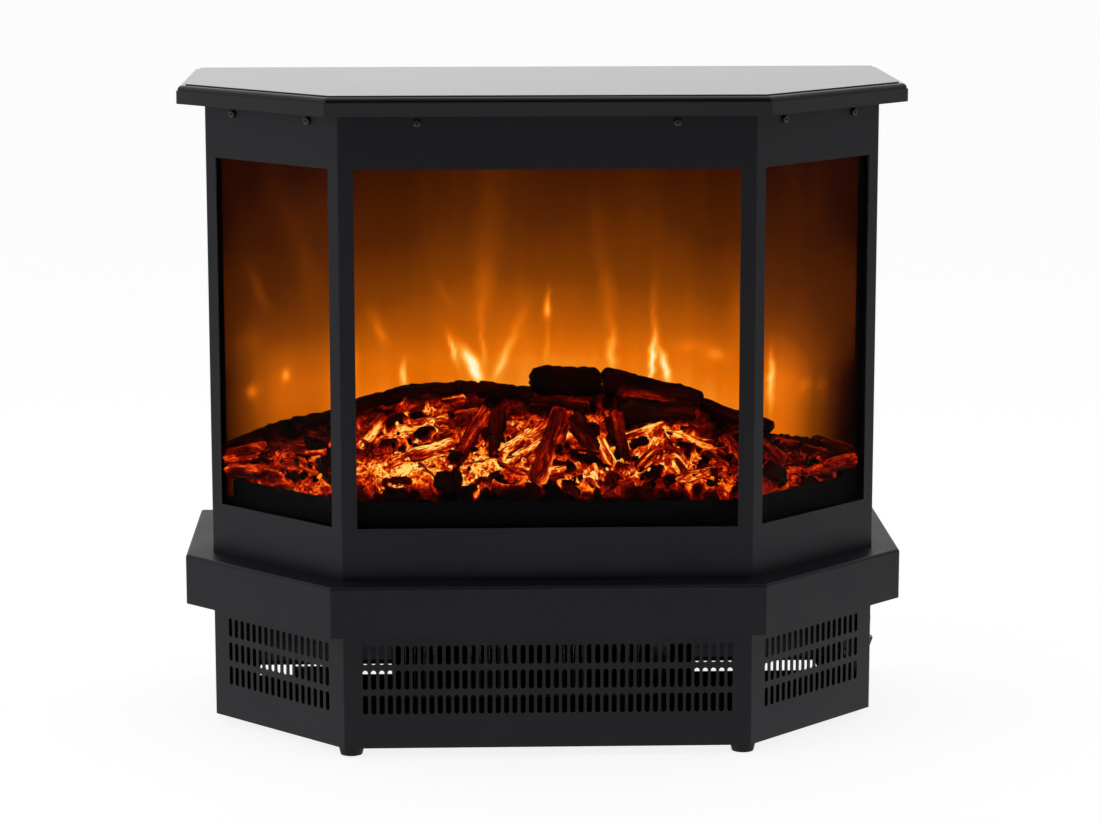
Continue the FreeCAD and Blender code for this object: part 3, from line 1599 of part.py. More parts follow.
def switch_housings():
    """Snap-in rocker switch housings, drawn about the outer face of the wall."""
    body = new_body("switch_housing")
    half_w, half_h = "switch_width / 2", "switch_height / 2"
    case = across(body, "switch_case_plan", "-switch_depth")
    rectangle(case, f"-{half_w}", f"-{half_h}", half_w, half_h)
    pad(body, "switch_case", case, "switch_depth")
    lap_w, lap_h = f"({half_w} + bezel_lap)", f"({half_h} + bezel_lap)"
    bezel = rectangle(across(body, "bezel_plan"), f"-{lap_w}", f"-{lap_h}", lap_w, lap_h)
    pad(body, "bezel", bezel, "bezel_thickness")
    well_h = "(rocker_length / 2 + rocker_clearance)"
    well = across(body, "well_plan", "bezel_thickness")
    rectangle(well, "-recess_half", f"-{well_h}", "recess_half", well_h)
    pocket(body, "well", well, "bezel_thickness + pivot_depth + rocker_root + 2 * rocker_clearance")
    pin = circle(upright(body, "pin_hole_plan"), "-pivot_depth", "0", "rocker_pin / 2 + running_gap")
    pocket(body, "pin_holes", pin, "2 * (recess_half + rocker_pin_depth)", both_ways=True)
    for word, z in (("upper", "switch_height / 4"), ("lower", "-switch_height / 4")):
        tab = rectangle(
            across(body, f"tab_plan_{word}", "-switch_depth - tab_length"),
            "-tab_width / 2",
            f"{z} - tab_thickness / 2",
            "tab_width / 2",
            f"{z} + tab_thickness / 2",
        )
        pad(body, f"tab_{word}", tab, "tab_length")
    copies("switch_housings", body, [("body_half", y, "control_level", None) for y in ROCKER_PLACES])


def rocker(name, y):
    """V-faced rocker on two pins, lying in its off position."""
    body = new_body(name)
    half = "rocker_length / 2"
    face = "(pivot_depth + rocker_proud)"
    lower = [
        (face, f"-{half}"),
        ("rocker_shoulder", f"-({half} - rocker_shoulder_inset)"),
        ("-rocker_root / 4", f"-({half} - rocker_waist_inset)"),
        ("-rocker_root", f"-({half} - rocker_root_inset)"),
    ]
    upper = [(x, z.replace("-", "", 1)) for x, z in reversed(lower)]
    profile = outline(upright(body, f"{name}_profile"), lower + upper + [(f"{face} - rocker_dip", "0")])
    pad(body, f"{name}_paddle", profile, "rocker_width", both_ways=True)
    pin = circle(upright(body, f"{name}_pin_plan"), "0", "0", "rocker_pin / 2")
    pad(body, f"{name}_pin", pin, "rocker_width + 2 * rocker_pin_depth", both_ways=True)
    off = Rotation(Vector(0, 1, 0), SIZES["rocker_tilt"])
    place(body, "body_half - pivot_depth", y, "control_level", off)
    return node(body, name)


def flame_dimmer():
    """Turning flame brightness control with its shaft and knob."""
    back = "body_half - sheet - pot_length"
    can = rod("pot_can", "x", back, "knob_place", "control_level", "pot_diameter", "pot_length")
    wall, reach = "body_half - sheet", "sheet + pot_nut_thickness"
    bush = rod("pot_thread", "x", wall, "knob_place", "control_level", "pot_bush", reach)
    nut = rod("pot_ring", "x", "body_half", "knob_place", "control_level", "pot_nut", "pot_nut_thickness")
    bore = rod(
        "pot_bore",
        "x",
        "body_half - sheet - pot_length / 2",
        "knob_place",
        "control_level",
        "knob_shaft + 2 * running_gap",
        "pot_length + sheet + pot_nut_thickness",
    )
    node(cut("dimmer_pot", joined("pot_body", can, bush, nut), bore), "dimmer_pot")
    reach = "sheet + pot_length / 2 - fit_gap"
    shaft = rod(
        "dimmer_shaft",
        "x",
        f"body_half - ({reach})",
        "knob_place",
        "control_level",
        "knob_shaft",
        f"{reach} + knob_gap + knob_length - knob_face_wall",
    )
    node(shaft, "dimmer_shaft")
    knob = new_body("dimmer_knob")
    disc = circle(across(knob, "knob_plan", "knob_gap"), "0", "0", "knob_diameter / 2")
    pad(knob, "knob_disc", disc, "knob_length")
    rib = rectangle(
        across(knob, "rib_plan", "knob_gap + knob_length"),
        "-knob_rib / 2",
        "0",
        "knob_rib / 2",
        "knob_diameter / 2 - knob_rib / 2",
    )
    pad(knob, "knob_pointer", rib, "knob_rib")
    doc.recompute()
    sink = circle(across(knob, "knob_sink", "knob_gap"), "0", "0", "knob_shaft / 2 + running_gap")
    pocket(knob, "knob_socket", sink, "knob_length - knob_face_wall + fit_gap", backwards=True)
    place(knob, "body_half", "knob_place", "control_level")
    node(knob, "dimmer_knob")
    board = "body_half - sheet - pot_length"
    edge = "control_board_size / 2"
    light_board(
        "control_board",
        f"{board} - board_thickness",
        f"knob_place - {edge}",
        f"control_level - {edge}",
        board,
        f"knob_place + {edge}",
        f"control_level + {edge}",
    )


def check_and_write():
    """Stop on any failed object, then write one file per sub-part."""
    doc.recompute()
    for thing in doc.Objects:
        if "Invalid" in thing.State or "Error" in thing.State:
            raise RuntimeError(f"{thing.Name} failed: {thing.State}")
    for thing in nodes:
        shape = Part.getShape(thing)
        if shape.isNull() or not shape.isValid() or not shape.Solids:
            raise RuntimeError(f"{thing.Label} has no valid solid")
    os.makedirs("parts", exist_ok=True)
    for thing in nodes:
        thing.Shape.exportStep(f"parts/{thing.Label}.step")
    print(f"{len(nodes)} sub-parts written")


fill_sheet()
mantel_top()
heat_shield()
mantel_fixings()
body_shell()
glass_panes()
glass_clips()
hearth_ledge()
plinth_shell()
base_pan()
feet()
rear_panels()
cord_gland()
firebox_floor()
ember_tray()
ember_bed()
ember_lights()
flame_screen()
flame_stencil()
flame_spindle()
spindle_drive()
flame_lights()
heater_housing()
blower_rotor()
blower_scroll()
blower_motor()
heating_element()
heater_safety()
switch_housings()
for rocker_name, rocker_place in zip(ROCKER_NAMES, ROCKER_PLACES):
    rocker(rocker_name, rocker_place)
flame_dimmer()
check_and_write()
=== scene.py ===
"""Dresses the electric fireplace stove: procedural finishes for its solids, and a flame screen, an ember
bed, screw heads and a dimmer knob worked out as surfaces."""
import json

import bpy
import numpy as np
from mathutils import Matrix, Vector


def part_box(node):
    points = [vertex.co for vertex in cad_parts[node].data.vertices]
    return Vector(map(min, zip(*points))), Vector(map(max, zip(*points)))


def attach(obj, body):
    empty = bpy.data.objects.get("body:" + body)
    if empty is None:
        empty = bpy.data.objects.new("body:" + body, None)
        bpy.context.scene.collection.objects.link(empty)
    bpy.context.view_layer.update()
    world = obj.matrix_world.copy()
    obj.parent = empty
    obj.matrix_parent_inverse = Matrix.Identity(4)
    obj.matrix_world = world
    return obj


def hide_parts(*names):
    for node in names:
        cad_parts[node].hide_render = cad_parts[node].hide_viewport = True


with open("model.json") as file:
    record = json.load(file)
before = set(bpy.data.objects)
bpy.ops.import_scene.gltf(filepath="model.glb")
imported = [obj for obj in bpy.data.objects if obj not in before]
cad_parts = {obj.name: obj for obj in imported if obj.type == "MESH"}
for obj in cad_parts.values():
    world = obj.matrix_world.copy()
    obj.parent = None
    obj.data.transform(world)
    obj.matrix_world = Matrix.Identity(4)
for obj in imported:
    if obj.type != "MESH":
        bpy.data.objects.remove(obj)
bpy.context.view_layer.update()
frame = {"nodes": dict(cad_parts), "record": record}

bl_info = {
    "name": "Electric Fireplace Stove",
    "version": (1, 0, 0),
    "blender": (4, 5, 0),
    "location": "3D View > Sidebar > Stove",
    "description": "Finishes the stove and builds its flame screen, ember bed, screw heads and knob",
    "category": "Object",
}

MM = 0.001
NODES = frame["nodes"]
SLOT_NODES = {}
for subpart in frame["record"]["subparts"]:
    SLOT_NODES.setdefault(subpart["material_slot"], []).append(subpart["node"])


# Sizes and colours that a user would change

class StoveCoatings(bpy.types.PropertyGroup):
    powder_colour: bpy.props.FloatVectorProperty(
        name="Powder coat", description="Charcoal powder coat of the folded sheets",
        subtype="COLOR", size=3, min=0, max=1, default=(0.0092, 0.009, 0.0138))
    powder_pebble: bpy.props.FloatProperty(
        name="Powder pebble", description="Width of one pebble of the powder coat",
        unit="LENGTH", min=0.0002, default=0.0011, precision=4)
    lacquer_colour: bpy.props.FloatVectorProperty(
        name="Lacquer", description="Black lacquer of the mantel",
        subtype="COLOR", size=3, min=0, max=1, default=(0.005, 0.005, 0.0085))
    glass_index: bpy.props.FloatProperty(
        name="Glass index", description="Refractive index of the low-reflection panes",
        min=1, default=1.04)


class StoveFire(bpy.types.PropertyGroup):
    screen_step: bpy.props.FloatProperty(
        name="Screen step", description="Grid step of the flame screen",
        unit="LENGTH", min=0.001, default=0.0024)
    flame_strength: bpy.props.FloatProperty(
        name="Flame strength", description="Light given by the flame screen", min=0, default=1.0)
    ember_strength: bpy.props.FloatProperty(
        name="Ember strength", description="Light given by the embers", min=0, default=1.0)
    lip_height: bpy.props.FloatProperty(
        name="Lip", description="Height of the bed's front lip", unit="LENGTH", default=0.026)
    lump_width: bpy.props.FloatProperty(
        name="Lump width", description="Mean width of the charcoal lumps",
        unit="LENGTH", default=0.019)
    lump_depth: bpy.props.FloatProperty(
        name="Lump depth", description="Height of a lump above its cracks",
        unit="LENGTH", default=0.0065)
    bark_depth: bpy.props.FloatProperty(
        name="Bark depth", description="Depth of the grain on the logs",
        unit="LENGTH", default=0.0016)
    bit_count: bpy.props.IntProperty(
        name="Ember bits", description="Small ember bits strewn over the bed", min=1, default=320)
    stick_count: bpy.props.IntProperty(
        name="Kindling", description="Small glowing sticks strewn over the bed", min=1, default=72)


class StoveStage(bpy.types.PropertyGroup):
    room_light: bpy.props.FloatProperty(
        name="Room light", description="Level of the plain room light", min=0, default=0.5)
    side_power: bpy.props.FloatProperty(
        name="Side lamp", description="Power of the left side lamp; the right one is weaker",
        subtype="POWER", min=0, default=8)
    top_power: bpy.props.FloatProperty(
        name="Top lamp", description="Power of the soft lamp overhead",
        subtype="POWER", min=0, default=6)
    lens: bpy.props.FloatProperty(
        name="Lens", description="Focal length on a 36 mm sensor, in millimetres",
        min=1, default=106.98)


# Surfaces

def box_of(node):
    """Lowest and highest corner of a CAD node."""
    return (np.array(corner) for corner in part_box(node))


def lattice(cells, seed):
    """One repeatable value from 0 to 1 for each integer lattice point."""
    mixed = cells @ np.array([374761393, 668265263, 1440662683]) + seed * 974634777
    mixed = (mixed ^ (mixed >> 13)) * 1274126177 & 0x7FFFFFFF
    return ((mixed ^ (mixed >> 16)) & 0xFFFF) / 65535.0


def noise(points, cell, seed, octaves=1):
    """Smooth noise from -1 to 1: lattice values blended over each cell, finer layers at half weight."""
    total = np.zeros(points.shape[:-1])
    weight, reach = 1.0, 0.0
    corners = np.stack(np.meshgrid([0, 1], [0, 1], [0, 1], indexing="ij"), -1).reshape(-1, 3)
    for layer in range(octaves):
        place = points / cell * 2 ** layer + 100.0
        base = np.floor(place).astype(np.int64)
        part = place - base
        ease = part * part * (3 - 2 * part)
        for corner in corners:
            share = np.prod(np.where(corner, ease, 1 - ease), -1)
            total += weight * share * (2 * lattice(base + corner, seed + layer) - 1)
        reach += weight
        weight *= 0.5
    return total / reach


def eased(value, low, high):
    """Smooth step from 0 at low to 1 at high."""
    share = np.clip((value - low) / (high - low), 0, 1)
    return share * share * (3 - 2 * share)


def lofted(rings):
    """Closed surface from an (n, m, 3) stack of rings: quads between rings, and a fan at each end."""
    n, m, _ = rings.shape
    points = np.concatenate([rings.reshape(-1, 3), rings[:1].mean(1), rings[-1:].mean(1)])
    row = np.arange(n * m).reshape(n, m)
    turn = np.roll(row, -1, axis=1)
    quads = np.stack([row[:-1], turn[:-1], turn[1:], row[1:]], -1).reshape(-1, 4)
    first = np.stack([turn[0], row[0], np.full(m, n * m)], -1)
    last = np.stack([row[-1], turn[-1], np.full(m, n * m + 1)], -1)
    tris = np.concatenate([first, last])
    both = np.concatenate([quads[:, [0, 1, 2]], quads[:, [0, 2, 3]], tris])
    a, b, c = points[both[:, 0]], points[both[:, 1]], points[both[:, 2]]
    inside_out = np.einsum("ij,ij->i", a, np.cross(b, c)).sum() < 0
    if inside_out:
        quads, tris = quads[:, ::-1], tris[:, ::-1]
    return points, quads, tris


def merged(surfaces):
    """One surface from several: points stacked, face numbers moved on."""
    points, quads, tris = zip(*surfaces)
    starts = np.cumsum([0] + [len(part) for part in points[:-1]])
    return (
        np.concatenate(points),
        np.concatenate([part + start for part, start in zip(quads, starts)]),
        np.concatenate([part + start for part, start in zip(tris, starts)]),
    )


def put_piece(name, surface, material, replaced, body="stove", attributes=None, smooth=True):
    """Mesh object of a surface, with its attributes, that stands for a CAD node and rides on a body."""
    points, quads, tris = surface
    mesh = bpy.data.meshes.new(name)
    mesh.vertices.add(len(points))
    mesh.vertices.foreach_set("co", np.asarray(points, np.float32).ravel())
    corners = np.concatenate([quads.ravel(), tris.ravel()]).astype(np.int32)
    mesh.loops.add(len(corners))
    mesh.loops.foreach_set("vertex_index", corners)
    starts = np.concatenate([np.arange(len(quads)) * 4, len(quads) * 4 + np.arange(len(tris)) * 3])
    mesh.polygons.add(len(starts))
    mesh.polygons.foreach_set("loop_start", starts.astype(np.int32))
    mesh.polygons.foreach_set("use_smooth", np.full(len(starts), smooth))
    mesh.update(calc_edges=True)
    if mesh.validate():
        raise RuntimeError(f"{name} has faulty faces")
    for label, data in (attributes or {}).items():
        kind, field = ("FLOAT", "value") if data.ndim == 1 else ("FLOAT_VECTOR", "vector")
        layer = mesh.attributes.new(label, kind, "POINT").data
        layer.foreach_set(field, np.asarray(data, np.float32).ravel())
    mesh.materials.append(material)
    piece = bpy.data.objects.new(name, mesh)
    bpy.context.scene.collection.objects.link(piece)
    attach(piece, body)
    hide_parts(replaced)
    return piece


# Shader nodes

class Flow:
    """What flows out of a shader node. Sums, products and powers of flows add math nodes."""

    def __init__(self, node, output=0):
        self.socket, self.tree = node.outputs[output], node.id_data

    def math(self, operation, other):
        return Flow(add(self.tree, "Math", {"operation": operation}, self, other))

    def __add__(self, other):
        return self.math("ADD", other)

    def __sub__(self, other):
        return self.math("SUBTRACT", other)

    def __mul__(self, other):
        return self.math("MULTIPLY", other)

    def __pow__(self, other):
        return self.math("POWER", other)

    def part(self, axis):
        """One part of this vector."""
        return Flow(add(self.tree, "SeparateXYZ", Vector=self), axis)

    def spread(self, low, high, to_low=0.0, to_high=1.0):
        """This value carried from one range to another, held at its ends."""
        return Flow(add(self.tree, "MapRange", Value=self, From_Min=low, From_Max=high,
                        To_Min=to_low, To_Max=to_high))

    def tint(self, first, second):
        """Colour between two colours, by this share."""
        made = add(self.tree, "Mix", {"data_type": "RGBA"}, self)
        for place, colour in zip(MIX_COLOURS, (first, second)):
            wire(made.inputs[place], colour)
        return Flow(made, MIXED_COLOUR)

    def blend(self, first, second):
        """Shader between two shaders, by this share."""
        return Flow(add(self.tree, "MixShader", None, self, first, second))

    def ramp(self, stops):
        """Colour of this value on a row of (place, colour) stops."""
        made = add(self.tree, "ValToRGB", Fac=self)
        elements = made.color_ramp.elements
        for element, (place, colour) in zip(elements, (stops[0], stops[-1])):
            element.position, element.color = place, (*colour, 1)
        for place, colour in stops[1:-1]:
            elements.new(place).color = (*colour, 1)
        return Flow(made)

    def noise(self, scale, detail=2.0, rough=0.5):
        """Noise at this place."""
        return Flow(add(self.tree, "TexNoise", Vector=self, Scale=scale, Detail=detail,
                        Roughness=rough))

    def relief(self, strength, distance):
        """Normal of a surface whose bumps have this height, in shares of a distance."""
        return Flow(add(self.tree, "Bump", Height=self, Strength=strength, Distance=distance))


# Places of a mix node's two colours in its inputs, and of its colour in its outputs
MIX_COLOURS = (6, 7)
MIXED_COLOUR = 2


def wire(socket, setting):
    """Links a socket to a flow, or sets its value."""
    if isinstance(setting, Flow):
        setting.tree.links.new(setting.socket, socket)
    else:
        socket.default_value = setting


def fill(sockets, **settings):
    """Links or sets sockets by their names."""
    for name, setting in settings.items():
        wire(sockets[name.replace("_", " ")], setting)


def add(tree, kind, props=None, *first, **inputs):
    """A shader node with its settings, its first inputs in their order and others by name."""
    made = tree.nodes.new("ShaderNode" + kind)
    for key, setting in (props or {}).items():
        setattr(made, key, setting)
    for socket, setting in zip(made.inputs, first):
        wire(socket, setting)
    fill(made.inputs, **inputs)
    return made


def flows(node):
    """Every named flow out of a node."""
    return {socket.name: Flow(node, socket.name) for socket in node.outputs if socket.name}


def where(tree, scale=(1, 1, 1)):
    """Object coordinates, stretched."""
    coords = Flow(add(tree, "TexCoord"), "Object")
    return Flow(add(tree, "Mapping", Vector=coords, Scale=scale))


def attribute(tree, name, output="Fac"):
    return Flow(add(tree, "Attribute", {"attribute_name": name}), output)


def start_group(name, inputs, outputs):
    """Empty shader group: inputs with their first values, and outputs, of which Colour is a colour."""
    tree = bpy.data.node_groups.new(name, "ShaderNodeTree")
    for label, setting in inputs.items():
        kind = "NodeSocketVector" if isinstance(setting, tuple) else "NodeSocketFloat"
        socket = tree.interface.new_socket(label, in_out="INPUT", socket_type=kind)
        socket.default_value = setting
    for label in outputs:
        kind = "NodeSocketColor" if label == "Colour" else "NodeSocketFloat"
        tree.interface.new_socket(label, in_out="OUTPUT", socket_type=kind)
    given, out = tree.nodes.new("NodeGroupInput"), tree.nodes.new("NodeGroupOutput")
    return tree, flows(given), out.inputs


def place_group(tree, maker, **inputs):
    """Flows out of a shared group, which its maker makes once under the maker's own name."""
    group = bpy.data.node_groups.get(maker.__name__) or maker()
    return flows(add(tree, "Group", {"node_tree": group}, **inputs))


def coat_grain():
    """Pebbled coating: fine pebbles for the height, broad mottle for shade, sparse flecks."""
    tree, given, out = start_group(
        "coat_grain", {"Pebbles": 900.0, "Mottle": 14.0}, ["Height", "Shade", "Flecks"])
    place = where(tree)
    fine = place.noise(given["Pebbles"])
    broad = place.noise(given["Mottle"], 4.0, 0.6)
    fill(out, Height=fine, Shade=broad.spread(0.3, 0.7), Flecks=fine.spread(0.6, 0.78))
    return tree


def settled_dust():
    """Thin dust on faces that look up, broken by noise."""
    tree, given, out = start_group("settled_dust", {"Amount": 0.1}, ["Mask"])
    up = Flow(add(tree, "NewGeometry"), "Normal").part("Z").spread(0.6, 1.0)
    specks = where(tree).noise(420.0, 4.0, 0.7).spread(0.45, 0.7, 0.25, 1.0)
    fill(out, Mask=up * specks * given["Amount"])
    return tree


def rolled_streaks():
    """Rolling marks of bare sheet and bar: noise drawn out along one axis, and a blotchy shade."""
    tree, given, out = start_group("rolled_streaks", {"Fineness": 1.0}, ["Height", "Shade"])
    streaks = where(tree, (18, 900, 900)).noise(given["Fineness"], 3.0, 0.65)
    blotch = where(tree).noise(55.0, 3.0)
    fill(out, Height=streaks, Shade=(streaks + blotch) * 0.5)
    return tree


HEAT_STOPS = [
    (0.0, (0.0, 0.0, 0.0)), (0.05, (0.03, 0.0004, 0.0)), (0.14, (0.13, 0.0016, 0.0001)),
    (0.28, (0.33, 0.006, 0.0003)), (0.44, (0.64, 0.024, 0.001)), (0.6, (0.97, 0.11, 0.003)),
    (0.75, (1.0, 0.28, 0.01)), (0.88, (1.0, 0.48, 0.036)), (1.0, (1.0, 0.7, 0.17)),
]


def ember_heat():
    """Charcoal: a piece's own glow in hot patches and seams, broken by ash, as heat colours."""
    tree, given, out = start_group(
        "ember_heat", {"Glow": 0.5, "Place": (0, 0, 0), "Cracks": 160.0},
        ["Colour", "Char", "Height"])
    glow, place, cracks = given["Glow"], given["Place"], given["Cracks"]
    wobble = Flow(add(tree, "TexNoise", Vector=place, Scale=cracks, Detail=2.0), "Color")
    shift = Flow(add(tree, "VectorMath", {"operation": "SCALE"}, wobble, Scale=0.004))
    bent = Flow(add(tree, "VectorMath", {"operation": "ADD"}, place, shift))
    edge = add(tree, "TexVoronoi", {"feature": "DISTANCE_TO_EDGE"}, Vector=bent, Scale=cracks)
    crack = Flow(edge, "Distance").spread(0.0, 0.15, 1.0, 0.0)
    ash = place.noise(cracks * 1.7, 5.0, 0.68)
    flicker = ash.spread(0.36, 0.64, 0.42, 1.15)
    hot = bent.noise(cracks * 0.3, 3.0, 0.6).spread(0.4, 0.62, 0.34, 1.0)
    heat = glow * (crack * 0.46 + hot) * flicker
    heat = (heat ** 1.5 * 1.55).math("MINIMUM", glow.spread(0.0, 1.0, 0.22, 1.02))
    fill(out, Colour=heat.ramp(HEAT_STOPS), Char=ash, Height=ash - crack * 0.5)
    return tree


# Finishes

def cleared_tree(owner):
    """Empty node tree of a material or a world."""
    owner.use_nodes = True
    owner.node_tree.nodes.clear()
    return owner.node_tree


def new_finish(name, **constants):
    """Material with a Principled shader, its constants set on the shader's own sockets."""
    material = bpy.data.materials.new(name)
    tree = cleared_tree(material)
    shader = add(tree, "BsdfPrincipled", **constants)
    add(tree, "OutputMaterial", Surface=Flow(shader))
    return material, tree, shader.inputs


def shades(colour, low, high):
    """A darker and a lighter shade of a colour."""
    return (*[c * low for c in colour], 1), (*[min(c * high, 1) for c in colour], 1)


DUST_COLOUR = (0.09, 0.088, 0.085, 1)


def coated(name, colour, pebbles, rough, depth, specular=0.5, dust=0.06, lift=0.18, fleck=0.12,
           vary=0.04, **constants):
    """Paint, rubber or plastic: pebbled relief, mottled colour and roughness, a breath of dust."""
    material, tree, shader = new_finish(name, Specular_IOR_Level=specular, **constants)
    grain = place_group(tree, coat_grain, Pebbles=pebbles)
    film = place_group(tree, settled_dust, Amount=dust)
    paint = grain["Shade"].tint(*shades(colour, 1 - lift, 1 + lift))
    paint = (grain["Flecks"] * fleck).tint(paint, shades(colour, 1, 3)[1])
    fill(shader, Base_Color=film["Mask"].tint(paint, DUST_COLOUR),
         Roughness=grain["Shade"].spread(0.0, 1.0, rough - vary, rough + vary),
         Normal=grain["Height"].relief(0.35, depth))
    return material


def bare_metal(name, colour, rough, fineness):
    """Rolled or plated metal: drawn-out streaks in shade, roughness and relief."""
    material, tree, shader = new_finish(name, Metallic=1.0)
    streak = place_group(tree, rolled_streaks, Fineness=fineness)
    fill(shader, Base_Color=streak["Shade"].tint(*shades(colour, 0.72, 1.2)),
         Roughness=streak["Shade"].spread(0.3, 0.7, rough - 0.08, rough + 0.1),
         Normal=streak["Height"].relief(0.2, 0.00005))
    return material


def dress(slot, material):
    """Every solid of a slot takes the finish."""
    for name in SLOT_NODES[slot]:
        node = NODES[name]
        if not node.material_slots:
            node.data.materials.append(material)
        for place in node.material_slots:
            place.material = material


# Coats by slot: name, colour, pebbles to the metre, roughness, relief in metres, specular level, and
# the shares of dust and mottle
BLACK_PLASTIC = (0.012, 0.012, 0.012)
HIDDEN_RESIN = ((0.05, 0.02, 0.012), 600, 0.7, 0.0001, 0.3)
CASE_COATS = {
    "dark_steel": ("matt_black_paint", (0.0022, 0.0022, 0.0024), 1400, 0.7, 0.00005, 0.04, 0.01),
    "foot_rubber": ("foot_rubber", (0.008, 0.008, 0.008), 700, 0.75, 0.0001, 0.3),
}
PLASTICS = {
    "black_plastic": ("black_moulded_plastic", BLACK_PLASTIC, 1100, 0.42, 0.00005),
    "rocker_plastic": ("rocker_plastic", (0.014, 0.014, 0.015), 1500, 0.3, 0.00003),
    "pale_plastic": ("pale_moulded_plastic", (0.6, 0.58, 0.52), 900, 0.45, 0.00005, 0.5, 0.04, 0.06),
    "ember_resin": ("hidden_ember_resin", *HIDDEN_RESIN),
    "screen_acrylic": ("hidden_screen_acrylic", *HIDDEN_RESIN),
}
# Metals by slot: name, colour, roughness and fineness of the rolling marks
METALS = {
    "bare_steel": ("zinc_plate", (0.5, 0.5, 0.51), 0.42, 1.0),
    "motor_steel": ("motor_can", (0.42, 0.42, 0.43), 0.34, 1.6),
    # The aluminium colour is far darker than bare aluminium: painted shade for the heater fins deep
    # inside the base, which keeps them from glinting.
    "bright_aluminium": ("shade_darkened_aluminium", (0.4, 0.4, 0.41), 0.5, 2.0),
}


# Operators, one for each piece or group of like pieces

class STOVE_OT_case(bpy.types.Operator):
    """Powder coat on the folded sheets, matt paint inside, rubber on the feet"""
    bl_idname = "stove.case"
    bl_label = "Case finishes"

    def execute(self, context):
        coat = context.scene.stove_coatings
        dress("black_steel", coated(
            "charcoal_powder_coat", coat.powder_colour, pebbles=1 / coat.powder_pebble, rough=0.46,
            depth=0.00006, specular=0.22))
        for slot, row in CASE_COATS.items():
            dress(slot, coated(*row))
        return {"FINISHED"}


class STOVE_OT_mantel(bpy.types.Operator):
    """Black lacquer on the moulded mantel"""
    bl_idname = "stove.mantel"
    bl_label = "Mantel finish"

    def execute(self, context):
        colour = context.scene.stove_coatings.lacquer_colour
        dress("mantel_board", coated(
            "black_lacquer", colour, pebbles=420.0, rough=0.3, depth=0.000003, specular=0.04,
            dust=0.002, lift=0.1, fleck=0.02, vary=0.006,
            Coat_Weight=0.74, Coat_Roughness=0.06, Coat_IOR=1.36))
        return {"FINISHED"}


class STOVE_OT_windows(bpy.types.Operator):
    """Clear panes with a trace of smear"""
    bl_idname = "stove.windows"
    bl_label = "Window glass"

    def execute(self, context):
        material, tree, shader = new_finish(
            "window_glass", Transmission_Weight=1.0,
            IOR=context.scene.stove_coatings.glass_index, Base_Color=(1, 1, 1, 1))
        smear = where(tree, (30, 30, 9)).noise(1.0, 4.0, 0.6)
        fill(shader, Roughness=smear.spread(0.4, 0.75, 0.0, 0.012))
        dress("window_glass", material)
        return {"FINISHED"}


class STOVE_OT_hardware(bpy.types.Operator):
    """Bare metals, boards, lamps and plastics"""
    bl_idname = "stove.hardware"
    bl_label = "Hardware finishes"

    def execute(self, context):
        for slot, row in METALS.items():
            dress(slot, bare_metal(*row))
        for slot, row in PLASTICS.items():
            dress(slot, coated(*row))
        dress("board", self.board())
        dress("lamp", self.lamp())
        return {"FINISHED"}

    def board(self):
        """Glass-cloth board under green mask: two crossed waves give the weave, noise the traces"""
        material, tree, shader = new_finish("green_board", Specular_IOR_Level=0.45)
        warp, weft = (
            Flow(add(tree, "TexWave", {"bands_direction": way}, Vector=where(tree), Scale=260.0,
                     Distortion=0.4), "Fac")
            for way in "XZ")
        weave = warp * weft
        copper = where(tree, (1, 1, 0.3)).noise(130.0, 1.0).spread(0.53, 0.56)
        mask = weave.tint((0.012, 0.075, 0.025, 1), (0.02, 0.115, 0.04, 1))
        fill(shader, Base_Color=copper.tint(mask, (0.045, 0.17, 0.06, 1)),
             Roughness=weave.spread(0.0, 1.0, 0.3, 0.42),
             Normal=(copper + weave).relief(0.25, 0.00004))
        return material

    def lamp(self):
        """Amber lamp lens with a cloudy core"""
        material, tree, shader = new_finish("amber_lamp", Emission_Strength=0.9, Coat_Weight=0.6)
        cloud = where(tree).noise(900.0)
        fill(shader, Base_Color=cloud.tint((0.5, 0.2, 0.04, 1), (0.75, 0.4, 0.1, 1)),
             Emission_Color=cloud.tint((0.75, 0.26, 0.03, 1), (1.0, 0.5, 0.12, 1)),
             Roughness=cloud.spread(0.3, 0.7, 0.15, 0.3))
        return material


